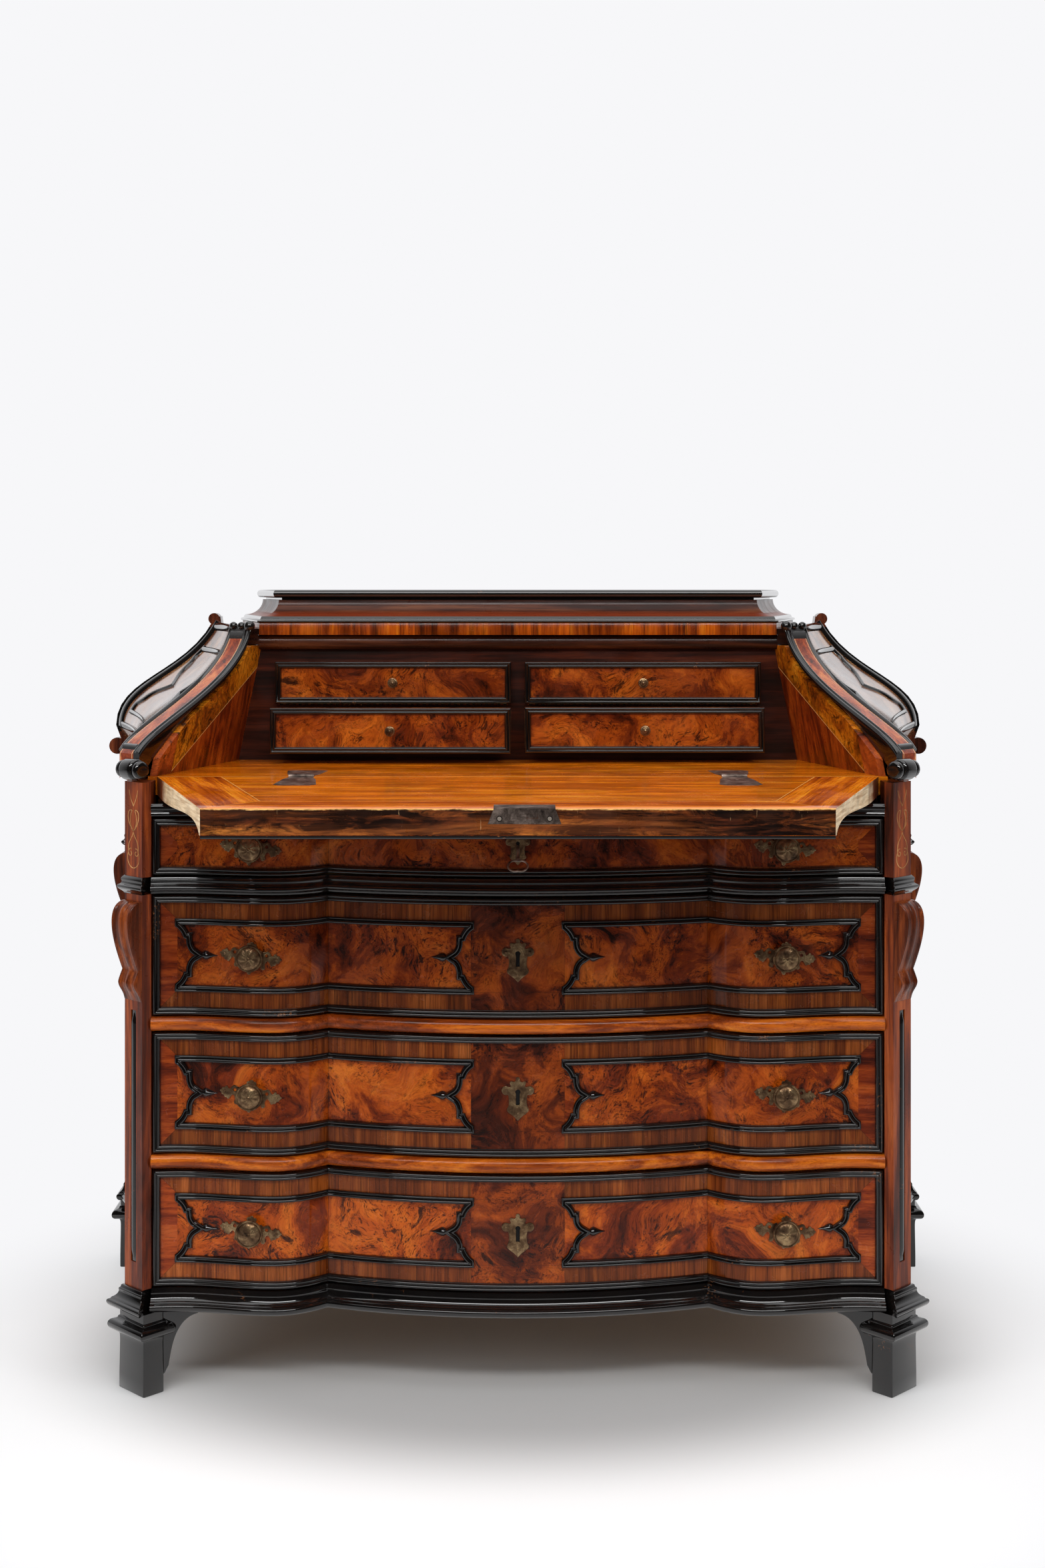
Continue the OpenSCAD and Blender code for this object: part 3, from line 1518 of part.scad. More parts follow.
drawer_metal(1);  // drawer_metal_2
drawer_metal(2);  // drawer_metal_3
drawer_metal(3);  // drawer_metal_4
lock_case();
lock_bolt();
key();
small_drawer(0);  // small_drawer_1
small_drawer(1);  // small_drawer_2
small_drawer(2);  // small_drawer_3
small_drawer(3);  // small_drawer_4
small_trim(0);  // small_trim_1
small_trim(1);  // small_trim_2
small_trim(2);  // small_trim_3
small_trim(3);  // small_trim_4
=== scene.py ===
import math
import bmesh
import bpy
import mathutils
import numpy as np
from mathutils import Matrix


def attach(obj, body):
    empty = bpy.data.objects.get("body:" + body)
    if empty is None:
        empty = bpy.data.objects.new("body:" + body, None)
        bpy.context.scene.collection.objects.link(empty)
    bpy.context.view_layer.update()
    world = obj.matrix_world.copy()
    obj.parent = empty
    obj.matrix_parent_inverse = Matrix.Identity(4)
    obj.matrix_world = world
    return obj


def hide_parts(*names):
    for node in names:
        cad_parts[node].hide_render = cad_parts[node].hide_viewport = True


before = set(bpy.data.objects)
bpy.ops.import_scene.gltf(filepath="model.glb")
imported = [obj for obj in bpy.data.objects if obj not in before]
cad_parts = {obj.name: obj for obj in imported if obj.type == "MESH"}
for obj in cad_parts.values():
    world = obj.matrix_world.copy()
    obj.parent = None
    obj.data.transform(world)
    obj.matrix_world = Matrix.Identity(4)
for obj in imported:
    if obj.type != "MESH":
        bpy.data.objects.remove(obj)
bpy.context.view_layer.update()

# Feet
# Four square feet of ebonised walnut, set cornerwise under the corner posts: a plain shaft, a hollow,
# a rounded cap and a neck, glued under the base moulding. A curved bracket braces each of them.


def colour(code):
    """Linear red, green, blue and alpha of an sRGB hex code."""
    part = np.array([int(code[k:k + 2], 16) for k in (1, 3, 5)]) / 255
    return (*np.where(part <= 0.04045, part / 12.92, ((part + 0.055) / 1.055) ** 2.4).tolist(), 1.0)


def node(tree, kind, inputs=(), stops=None, **settings):
    """Adds one node. An input is a value or another node's output; stops are a ramp's places and colours."""
    made = tree.nodes.new("ShaderNode" + kind)
    for key, value in settings.items():
        setattr(made, key, value)
    if stops:
        ramp = made.color_ramp.elements
        ramp.remove(ramp[1])
        ramp[0].position, ramp[0].color = stops[0]
        for place, value in stops[1:]:
            ramp.new(place).color = value
    for key, value in dict(inputs).items():
        if isinstance(value, bpy.types.NodeSocket):
            tree.links.new(value, made.inputs[key])
        else:
            made.inputs[key].default_value = value
    return made.outputs


def grey(level):
    """Linear grey of that level, from 0 for black to 1 for white."""
    return (level, level, level, 1.0)


def finish(name):
    """A new material: itself, its tree, its shader, and the place on the object in metres."""
    made = bpy.data.materials.new(name)
    made.use_nodes = True
    tree = made.node_tree
    return made, tree, tree.nodes["Principled BSDF"], node(tree, "TexCoord")["Object"]


def figure(tree, at, stretch, detail, rough=0.55, bend=0.0, seed=0.0):
    """Irregular figure, as in wood, rust or patina: its clouds are 1 / stretch metres long in each direction,
    so unequal stretches draw it out along the grain. The seed moves it to another place."""
    moved = node(tree, "Mapping", {"Vector": at, "Scale": stretch,
                                   "Location": (seed, 2.3 * seed, 1.7 * seed)})
    return node(tree, "TexNoise", {"Vector": moved[0], "Scale": 1.0, "Detail": detail, "Roughness": rough,
                                   "Distortion": bend})[0]


def ebonised(name):
    """Pear or walnut stained black and French polished: a deep gloss with faint brush waves along it, and
    brown specks, 5 mm across, where the stain is knocked off."""
    made, tree, shader, at = finish(name)
    cloud = figure(tree, at, (9, 9, 9), 6, seed=3)
    chips = figure(tree, at, (190, 190, 260), 5, 0.75, seed=8)
    patch = figure(tree, at, (14, 14, 14), 2, seed=5)
    chipped = node(tree, "Math", {0: chips, 1: patch}, operation="MULTIPLY")[0]
    bare = node(tree, "ValToRGB", {0: chipped}, [(0.405, grey(0)), (0.44, grey(1))])[0]
    stain = node(tree, "ValToRGB", {0: cloud}, [(0.35, colour("#070606")), (0.7, colour("#130f0d"))])[0]
    tone = node(tree, "Mix", {0: bare, 6: stain, 7: colour("#5f3a20")}, data_type="RGBA")[2]
    tree.links.new(tone, shader.inputs["Base Color"])
    dull = figure(tree, at, (40, 40, 40), 5, seed=6)
    sheen = node(tree, "MapRange", {0: dull, 1: 0.3, 2: 0.75, 3: 0.04, 4: 0.12})[0]
    tree.links.new(sheen, shader.inputs["Roughness"])
    wave = figure(tree, at, (45, 45, 45), 2, seed=9)
    bump = node(tree, "Bump", {"Height": wave, "Strength": 0.3, "Distance": 0.0004})[0]
    tree.links.new(bump, shader.inputs["Normal"])
    shader.inputs["Coat Weight"].default_value = 0.7
    shader.inputs["Coat Roughness"].default_value = 0.04
    return made


black = ebonised("ebonised_walnut_french_polished")


def skin(rows, mark=0, closed=False):
    """Skin over rows of points, rows[i, j] being point j of row i. Each row is a closed outline, and each
    point joins its neighbours in the row and in the next row. The two end rows are faces, unless the rows
    close on each other."""
    rows = np.asarray(rows, float)
    index = np.arange(rows.shape[0] * rows.shape[1]).reshape(rows.shape[:2])
    beside = np.roll(index, -1, 1)
    quads = np.stack([index, beside, np.roll(beside, -1, 0), np.roll(index, -1, 0)], -1)
    if closed:
        return rows.reshape(-1, 3), quads.reshape(-1, 4), [], mark
    return rows.reshape(-1, 3), quads[:-1].reshape(-1, 4), [index[0][::-1], index[-1]], mark


def between(outer, inner):
    """Skin round the space between two grids of points."""
    return skin(np.concatenate([outer, np.asarray(inner)[:, ::-1]], 1))


def both(*skins):
    """The skins, and the same with x turned to -x."""
    return [*skins, *((points * (-1, 1, 1), quads, ends, mark) for points, quads, ends, mark in skins)]


def piece(name, body, skins, finishes, replaces=(), crisp=35):
    """One closed object in metres from skins in millimetres, each with the number of its finish. Doubles are
    merged, faces turned outwards, and edges sharper than crisp degrees stay sharp."""
    points, faces, marks, start = [], [], [], 0
    for p, quads, ends, mark in skins:
        points.append(p)
        faces += (quads + start).tolist() + [(end + start).tolist() for end in ends]
        marks += [mark] * (len(quads) + len(ends))
        start += len(p)
    mesh = bpy.data.meshes.new(name)
    mesh.from_pydata(np.concatenate(points) / 1000, [], faces)
    mesh.polygons.foreach_set("material_index", marks)
    for one in finishes:
        mesh.materials.append(one)
    work = bmesh.new()
    work.from_mesh(mesh)
    bmesh.ops.remove_doubles(work, verts=work.verts, dist=1e-6)
    bmesh.ops.recalc_face_normals(work, faces=work.faces)
    work.to_mesh(mesh)
    work.free()
    mesh.shade_smooth()
    mesh.set_sharp_from_angle(angle=math.radians(crisp))
    made = bpy.data.objects.new(name, mesh)
    bpy.context.scene.collection.objects.link(made)
    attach(made, body)
    if replaces:
        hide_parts(*replaces)
    return made


def curve(a, b, c, d, count):
    """Points of the cubic curve a (1-t)^3 + 3 b t (1-t)^2 + 3 c t^2 (1-t) + d t^3."""
    t = np.linspace(0, 1, count)[:, None]
    a, b, c, d = (np.array(p, float) for p in (a, b, c, d))
    return a * (1 - t) ** 3 + 3 * b * t * (1 - t) ** 2 + 3 * c * t ** 2 * (1 - t) + d * t ** 3


def eased(line, times):
    """Corner cutting, so many times: each inner corner gives way to the points a quarter along its edges."""
    line = np.array(line, float)
    for _ in range(times):
        near, far = line[:-1] * 0.75 + line[1:] * 0.25, line[:-1] * 0.25 + line[1:] * 0.75
        line = np.concatenate([line[:1], np.stack([near, far], 1).reshape(-1, line.shape[1])[1:-1],
                               line[-1:]])
    return line


def square_rows(profile, width, depth, ease):
    """Rows round a block: at each [out, height] a rectangle wider by out on all sides, its corners rounded
    to the radius ease."""
    out, z = np.array(profile, float).T[:, :, None]
    arc = np.linspace(0, np.pi / 2, 4)
    angle = np.concatenate([arc + k * np.pi / 2 for k in range(4)])
    right, back = np.repeat([1, -1, -1, 1], 4), np.repeat([1, 1, -1, -1], 4)
    u = right * (width / 2 + out - ease) + ease * np.cos(angle)
    v = back * (depth / 2 + out - ease) + ease * np.sin(angle)
    return np.stack([u, v, z + 0 * u], -1)


front_post, rear_post, y_back = (-508.142, -143.949), (-611, 365.909), 406.909


def on_front_post(rows):
    """From [along, inwards, height] on the canted face of the left front post to the desk's frame: a turn by
    -45 degrees about the middle of that face."""
    u, v, z = np.moveaxis(np.asarray(rows, float), -1, 0)
    half = math.sqrt(0.5)
    return np.stack([front_post[0] + half * (u + v), front_post[1] + half * (v - u), z], -1)


def on_rear_post(rows):
    """The same for the outer face of the left rear post, turned by -90 degrees."""
    u, v, z = np.moveaxis(np.asarray(rows, float), -1, 0)
    return np.stack([rear_post[0] + v, rear_post[1] - u, z], -1)


# Widths and depths of the shafts, the front ones measured along and across the canted face
foot_height, foot_front, foot_rear = 108, (56, 31), (42, 60)
cap = [(6 + 6 * math.sin(a), 84 - 7 * math.cos(a)) for a in np.linspace(0, math.pi, 13)]
foot_line = [(0, 0), (0.6, 0.8), (0.6, 20), (0, 60), *eased([(0, 66), (0.3, 72), (2.2, 76), (6, 77)], 1),
             *cap[1:], *eased([(6, 91), (2.2, 92.4), (2, 94.5), (0, 96)], 1), (0, 98), (0, foot_height)]
front_foot = square_rows(foot_line, *foot_front, 1.6) + (0, 12.5, 0)
rear_foot = square_rows(foot_line, *foot_rear, 1.6) + (rear_post[0] + 10, rear_post[1] + 11, 0)
rear_foot[..., 1] = np.minimum(rear_foot[..., 1], y_back)
# Brackets, 12 mm thick with eased edges: an outline of [away from the foot, height], at four depths
bracket = np.concatenate([[(-12, 40), (-12, 107.9), (48, 107.9)],
                          curve((48, 103), (20, 96), (14, 62), (11, 46), 16), [(9, 34), (4, 24), (0, 20)]])
run, up = bracket.T
depth, drawn_in = np.array([-6, -5.2, 5.2, 6])[:, None], np.array([0.6, 0, 0, 0.6])[:, None]
front_bracket = np.stack([front_post[0] + 37 + run - drawn_in, front_post[1] + 8 + depth + 0 * run,
                          up + drawn_in], -1)
rear_bracket = np.stack([rear_post[0] + 30 + depth + 0 * run, 338.9 - run + drawn_in, up + drawn_in], -1)
piece("feet_ebonised", "carcase",
      both(skin(on_front_post(front_foot)), skin(rear_foot), skin(front_bracket), skin(rear_bracket)),
      [black], ["feet"], 40)

# Base moulding
# An ebonised ogee under the lowest drawer, that follows the serpentine of the front and the hollow of
# the sides, and breaks out round each corner post above the foot. Planed in lengths and mitred.

# Half widths of a drawer, of its bow between the creases, and between the posts' inner arrises
drawer_half, bow_half, arris_in = 482, 252, 484
face_front, z_base = -165.091, 138
bow_radius, crease_depth, swell_depth, swell_at = 813.8, 40, 8, 0.3


def recess(x):
    """How far the drawer face lies behind the middle of the bow: the arc of the bow to the crease, 40 mm
    back, then a parabola out to a shallow swell 8 mm back, and a cosine back into the end."""
    a = np.abs(x)
    t = (a - bow_half) / (drawer_half - bow_half)
    arc = bow_radius - np.sqrt(bow_radius ** 2 - np.minimum(a, bow_half) ** 2)
    swell = swell_depth + (crease_depth - swell_depth) * (np.maximum(swell_at - t, 0) / swell_at) ** 2
    end = swell_depth * (1 - np.cos(np.pi * np.maximum(t - swell_at, 0) / 0.55))
    return np.where(a <= bow_half, arc, swell + end)


def face_y(x, out=0):
    """Depth of the drawer face at x, or of what stands out from it by so much."""
    return face_front + recess(x) - out


def stations(a, b, step=6):
    """Places along the front from a to b, with one at each crease."""
    bounds = np.unique([a, b, *(c for c in (-bow_half, bow_half) if a < c < b)])
    return np.unique(np.concatenate([np.linspace(p, q, max(2, int((q - p) / step))) for p, q in
                                     zip(bounds[:-1], bounds[1:])]))


def front_run(profile):
    """A moulding of [out, height] carried along the serpentine, from post to post."""
    out, z = np.array(profile, float).T
    x = stations(-arris_in, arris_in)[:, None]
    return np.stack([x + 0 * out, face_y(x, out), z + 0 * x], -1)


# A side's outer face: half width and depth at its two ends, and the share of its splay that is hollowed
side_front, side_rear, side_hollow = (516.284, -123.807), (607, 342.909), 0.31


def side_x(y):
    """Half width of the case: a straight splay from the front post to the rear one, less a parabola."""
    r = np.clip((y - side_front[1]) / (side_rear[1] - side_front[1]), 0, 1)
    return side_front[0] + (side_rear[0] - side_front[0]) * (r - side_hollow * 4 * r * (1 - r))


def side_run(profile):
    """The same along the hollow side, with its inner edge 18 mm in."""
    out, z = np.array(profile, float).T
    y = np.linspace(side_front[1], side_rear[1], 60)[:, None]
    return np.stack([-(side_x(y) + np.maximum(out, -18)), y + 0 * out, z + 0 * y], -1)


def post_blocks(profile, rear_out):
    """The blocks that break out round the left posts, cut off flush inside and at the back. The rear one
    stands out by rear_out times the profile."""
    front = on_front_post(square_rows(profile, 40, 28, 0.8) + (0, 14, 0))
    front[..., 0] = np.minimum(front[..., 0], -arris_in)
    rear = square_rows([(out * rear_out, z) for out, z in profile], 40, 64, 0.8)
    rear += (rear_post[0] + 20, rear_post[1] + 9, 0)
    rear[..., 0] = np.minimum(rear[..., 0], rear_post[0] + 40)
    rear[..., 1] = np.minimum(rear[..., 1], y_back)
    return skin(front), skin(rear)


base_line = np.array([(10, 0), (13.5, 1.2), (16, 4), (17, 7.5), (15.6, 10), (12.6, 10.8), (12.2, 12.6),
                      (9, 14.2), (6, 17.4), (4.6, 21.6), (5.2, 22.6), (5, 25), (3.2, 26), (2.8, 29),
                      (1, 30)]) + (0, foot_height)
base_profile = np.concatenate([[(-25, foot_height)], eased(base_line, 1), [(-25, z_base)]])
base_corner = eased(base_line + (1, 0), 1)
piece("base_moulding_ebonised", "carcase",
      [skin(front_run(base_profile)), *both(skin(side_run(base_profile)), *post_blocks(base_corner, 0.8))],
      [black], ["base_moulding"], 30)

# Carcase boards
# Pine carcase: bottom, dust boards that carry the drawers, guides beside them and the back, all of
# planed softwood left bare, yellowed, and nailed or grooved into the posts and sides.


def bare_pine(name):
    """Planed pine without a finish: pale yellow with rust-coloured growth lines 4 to 8 mm apart, dull."""
    made, tree, shader, at = finish(name)
    rings = figure(tree, at, (2.4, 150, 150), 4, 0.6, 0.4, seed=2)
    stain = figure(tree, at, (5, 5, 5), 4, seed=7)
    tone = node(tree, "ValToRGB", {0: rings}, [(0.32, colour("#a8753d")), (0.5, colour("#c99a5e")),
                                                (0.72, colour("#d8b27c"))])[0]
    dirt = node(tree, "ValToRGB", {0: stain}, [(0.35, grey(0.55)), (0.6, grey(1))])[0]
    tone = node(tree, "Mix", {0: 1.0, 6: tone, 7: dirt}, data_type="RGBA", blend_type="MULTIPLY")[2]
    tree.links.new(tone, shader.inputs["Base Color"])
    bump = node(tree, "Bump", {"Height": rings, "Strength": 0.4, "Distance": 0.0005})[0]
    tree.links.new(bump, shader.inputs["Normal"])
    shader.inputs["Roughness"].default_value = 0.72
    return made


pine = bare_pine("pine_planed_unfinished")


def repaint(names, made):
    """Gives CAD nodes that keep their own shape a finish."""
    for name in names:
        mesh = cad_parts[name].data
        mesh.materials.clear()
        mesh.materials.append(made)


repaint(["bottom_board", "dust_boards", "drawer_guides", "back_boards", "top_back",
         "drawer_box_1", "drawer_box_2", "drawer_box_3", "drawer_box_4"], pine)

# Sides
# Hollow side panels of the case in two lengths, above and below the waist moulding: thick softwood
# veneered with straight walnut laid upright, and housed between the corner posts.


def walnut_tone(tree, at, lengthwise, tones, seed):
    """Straight walnut: figure drawn out along the grain for the flame, with streaks 5 mm and dark pores
    0.8 mm wide. Gives the colour and the height of the pores."""
    flame = figure(tree, at, tuple(2.6 if k == lengthwise else 26 for k in range(3)), 5, 0.62, 1.1, seed + 1)
    streak = figure(tree, at, tuple(5 if k == lengthwise else 190 for k in range(3)), 3, 0.6, 0.2, seed + 4)
    pore = figure(tree, at, tuple(45 if k == lengthwise else 1300 for k in range(3)), 2, 0.5, 0, seed + 6)
    faint = node(tree, "Math", {0: streak, 1: 0.42}, operation="MULTIPLY")[0]
    both_fields = node(tree, "Math", {0: flame, 1: faint}, operation="ADD")[0]
    ramp = node(tree, "ValToRGB", {0: both_fields},
                [(0.5, colour(tones[0])), (0.66, colour(tones[1])), (0.78, colour(tones[2])),
                 (0.95, colour(tones[3]))])[0]
    pores = node(tree, "ValToRGB", {0: pore}, [(0.36, grey(0.35)), (0.48, grey(1))])
    return node(tree, "Mix", {0: 0.55, 6: ramp, 7: pores[0]}, data_type="RGBA",
                blend_type="MULTIPLY")[2], pore


def polish(tree, shader, at, tone, height, gloss, depth=0.00012):
    """French polish over the wood: the colour, a thin hard gloss that wanders with rubbing, and the open
    grain as a slight relief."""
    tree.links.new(tone, shader.inputs["Base Color"])
    rubbed = figure(tree, at, (22, 22, 22), 5, 0.6, 0.3, 11)
    sheen = node(tree, "MapRange", {0: rubbed, 1: 0.3, 2: 0.7, 3: gloss - 0.06, 4: gloss + 0.14})[0]
    tree.links.new(sheen, shader.inputs["Roughness"])
    bump = node(tree, "Bump", {"Height": height, "Strength": 0.35, "Distance": depth})[0]
    tree.links.new(bump, shader.inputs["Normal"])
    shader.inputs["Specular IOR Level"].default_value = 0.22
    shader.inputs["Coat Weight"].default_value = 0.12
    shader.inputs["Coat Roughness"].default_value = 0.08


def straight_walnut(name, lengthwise, tones, seed, gloss=0.26):
    """Polished straight walnut, its grain along x, y or z as lengthwise is 0, 1 or 2."""
    made, tree, shader, at = finish(name)
    tone, height = walnut_tone(tree, at, lengthwise, tones, seed)
    polish(tree, shader, at, tone, height, gloss)
    return made


walnut_tones = ("#220c05", "#542208", "#87400f", "#a85c1c")
walnut_upright = straight_walnut("walnut_veneer_upright_polished", 2, walnut_tones, 2.0)


def side_length(z0, z1):
    """Plan of the side panel at two heights: the hollow outer face and the inner one 20 mm inside it."""
    y = np.linspace(side_front[1], side_rear[1] - 0.009, 60)
    plan = np.concatenate([np.stack([-side_x(y), y], -1), np.stack([-side_x(y[:0:-1]) + 20, y[:0:-1]], -1),
                           [(-502, -115.72), (-508, -115.72)]])
    return np.stack([np.concatenate([plan, np.full((len(plan), 1), z)], 1) for z in (z0, z1)])


z_waist, z_block, z_side_top = 658, 681, 806
piece("sides_walnut", "carcase",
      both(skin(side_length(z_base, z_waist)), skin(side_length(z_block, z_side_top))),
      [walnut_upright], ["sides"])

# Corner posts
# Solid walnut posts, canted at the front, with a short block over the waist. Each block carries fine
# scrolls of light stringing: a heart over a lyre. The long face has a sunk strip for the black bead.

post_wood = straight_walnut("walnut_solid_post_polished", 2, ("#2a0f06", "#5a220c", "#843a14", "#a05224"),
                            5.0, 0.3)
repaint(["posts"], post_wood)


def ribbon(line, width, place):
    """A flat strip of stringing along a line of [along, height] points on a post's face, width wide, its
    offsets at right angles to the line. It is let in 0.3 mm and stands 0.15 mm proud."""
    line = np.array(line, float)
    way = np.gradient(line, axis=0)
    across = np.stack([-way[:, 1], way[:, 0]], -1) / np.linalg.norm(way, axis=1)[:, None] * width / 2
    low, high = line - across, line + across
    ring = [np.stack([side[:, 0], np.full(len(line), v), side[:, 1]], -1) for side, v in
            ((low, 0.3), (low, -0.15), (high, -0.15), (high, 0.3))]
    return skin(place(np.stack(ring, 1)))


def spiral(u, z, radius, start, turns):
    """Points of a scroll round [u, z] that winds in evenly from radius to a fifth of it."""
    angle = start + np.linspace(0, turns * 2 * np.pi, 26)
    reach = radius * np.linspace(1, 0.2, 26)
    return np.stack([u + reach * np.cos(angle), z + reach * np.sin(angle)], -1)


# The heart's outer and inner line, the lyre's scroll, shoulder and foot, and a sprig over the heart
half_scrolls = [curve((0, 741), (16, 752), (15, 772), (3, 768), 20),
                curve((0, 741), (9, 748), (9, 760), (3, 768), 20), spiral(6.5, 712, 6, 1.9, -1.1),
                curve((0.5, 739), (3, 730), (13, 728), (11, 714), 20),
                curve((0.5, 692), (12, 694), (15, 703), (12, 712), 20),
                curve((0, 774), (5, 782), (8, 786), (10, 795), 16)]
scrolls = [line * (side, 1) for side in (1, -1) for line in half_scrolls]
light_string = straight_walnut("light_stringing", 2, ("#5a3418", "#96683a", "#bc8e5a", "#d4ae7c"), 3.0, 0.3)
piece("post_scrolls_stringing", "carcase",
      [one for line in scrolls for place in (on_front_post, on_rear_post)
       for one in both(ribbon(line, 1.3, place))], [light_string])

# A black half round with pointed ends is glued into each sunk strip
strip_low, strip_high = 172.3, 504
v = np.linspace(0, np.pi, 13)
level = np.concatenate([strip_low + np.array([0, 0.4, 4, 9, 14]),
                        np.linspace(strip_low + 18, strip_high - 18, 14),
                        strip_high - np.array([14, 9, 4, 0.4, 0])])
from_end = np.minimum(level - strip_low, strip_high - level)
plump = np.clip(from_end / 15, 0.02, 1)[:, None] ** 0.55
bead = np.stack([5.4 * plump * np.cos(v), 3 - 4.6 * plump * np.sin(v), level[:, None] + 0 * v], -1)
bed = square_rows([(0, strip_low), (0, strip_high)], 11.3, 1.6, 0.2) + (0, 2.1, 0)
piece("post_strips_ebonised", "carcase",
      [one for place in (on_front_post, on_rear_post) for one in both(skin(place(bead)), skin(place(bed)))],
      [black], ["post_strips"])

# Consoles
# Carved walnut scrolls under the waist moulding: they swell out below it, draw in and end in a toe.
# The face is worked with a bead along both edges and a broader one down the middle.

console_top = 648.6
body_line = np.concatenate([curve((4, 0), (32, -4), (24, -47.5), (5, -91), 26),
                            eased([(5, -91), (8, -97), (12, -106), (11.6, -110), (10, -114), (4, -122.6),
                                   (0.5, -131.4)], 2)[1:]])
across = np.linspace(-20, 20, 41)
ridge = np.sqrt(np.clip(1 - ((np.abs(across) - 17.4) / 2.6) ** 2, 0, 1)) + \
    np.sqrt(np.clip(1 - (across / 5.2) ** 2, 0, 1))
sunk = 3.0 * (1 - np.clip(ridge, 0, 1))
out = np.maximum(body_line[:, 0] - sunk[:, None] * np.clip(body_line[:, 0] / 12, 0.1, 1), 0.4)
outline = np.stack([across[:, None] + 0 * out, -out, console_top + body_line[:, 1] + 0 * out], -1)
back_line = np.stack([across[:, None] + 0 * out, 0 * out - 0.05, console_top + body_line[:, 1] + 0 * out], -1)
carved = straight_walnut("walnut_carved_polished", 2, ("#240d05", "#50200b", "#7a3814", "#94501f"), 8.0, 0.24)
piece("consoles_carved", "carcase",
      [one for place in (on_front_post, on_rear_post) for one in
       both(skin(place(np.concatenate([outline, back_line[:, ::-1]], 1))))], [carved], ["consoles"], 50)

# Rails and waist moulding
# Between the lower drawers lie cushion-shaped rails of lighter walnut with the grain lengthwise; under
# and over the top drawer the mouldings are ebonised. All of them follow the serpentine.

rail_wood = straight_walnut("walnut_cushion_rail_polished", 0, ("#401806", "#77310b", "#a8520f", "#c4701c"),
                            1.0, 0.22)
cushion_feet, cushion_half = (295, 477), 9.5
swelling = [(0.8 + 8.2 * math.sin(a), cushion_half * (1 - math.cos(a))) for a in
            np.linspace(0.12, math.pi - 0.12, 15)]
cushion = [(-25, 0), (0.6, 0), *swelling, (0.6, 2 * cushion_half), (-25, 2 * cushion_half)]
piece("cushion_rails_walnut", "carcase",
      [skin(front_run(np.array(cushion) + (0, z))) for z in cushion_feet], [rail_wood], ["cushion_rails"], 30)

waist_line = np.array([(3, 0), (4.6, 1), (5.2, 3.6), (9, 4.6), (11.4, 6.2), (12, 8.4), (11, 10.6),
                       (8.4, 11.8), (7.2, 13), (5.2, 14.4), (5, 16), (6, 17.6), (5.6, 19.6), (3.6, 20.4),
                       (3, 23)]) + (0, z_waist)
corner_line = np.array([(1, 0), (2, 2), (6, 5), (8, 8), (7.4, 10.4), (5, 11.6), (3.6, 13), (3, 15), (4, 18),
                        (3.4, 20.4), (1, 23)]) + (0, z_waist)
waist_profile = np.concatenate([[(-25, z_waist)], eased(waist_line, 1), [(-25, z_block)]])
piece("waist_moulding_ebonised", "carcase",
      [skin(front_run(waist_profile)),
       *both(skin(side_run(waist_profile)), *post_blocks(eased(corner_line, 1), 1))],
      [black], ["waist_moulding"], 30)

# The top rail: its front moulding, a walnut rail behind it, and pine either side of the bolt's mortise
z_top_rail = 760
rail_line = np.array([(2, 0), (4.4, 1), (5, 3.6), (3.6, 6), (4, 8), (6.6, 9.4), (7, 12), (6.6, 14.4),
                      (4, 15.6), (3, 17)])
top_rail_profile = np.concatenate([[(-25, 0)], eased(rail_line, 1), [(-25, 17)]]) + (0, z_top_rail)


def box(x, y, z, mark):
    """A block between two places in each direction, its edges taken off by 0.4 mm."""
    rows = square_rows([(-0.4, z[0]), (0, z[0] + 0.4), (0, z[1] - 0.4), (-0.4, z[1])], x[1] - x[0],
                       y[1] - y[0], 0.6)
    return skin(rows + ((x[0] + x[1]) / 2, (y[0] + y[1]) / 2, 0), mark)


front_rail = straight_walnut("walnut_front_rail", 0, ("#1c0b06", "#43200e", "#703a16", "#9a5a28"), 5.0)
piece("top_rail_ebonised", "carcase",
      [skin(front_run(top_rail_profile)),
       box((-drawer_half, drawer_half), (-106, -76.1), (z_top_rail, z_top_rail + 25), 2),
       *(box((x, x + 12), (-145, -98.1), (z_top_rail, z_top_rail + 17), 1) for x in (-24, 12))],
      [black, pine, front_rail], ["top_rail"], 30)

# Drawer fronts
# Thick softwood fronts, shaped to the serpentine and veneered: root walnut in the two reserves and in
# the middle, straight walnut laid crosswise round them and mitred at the corners.


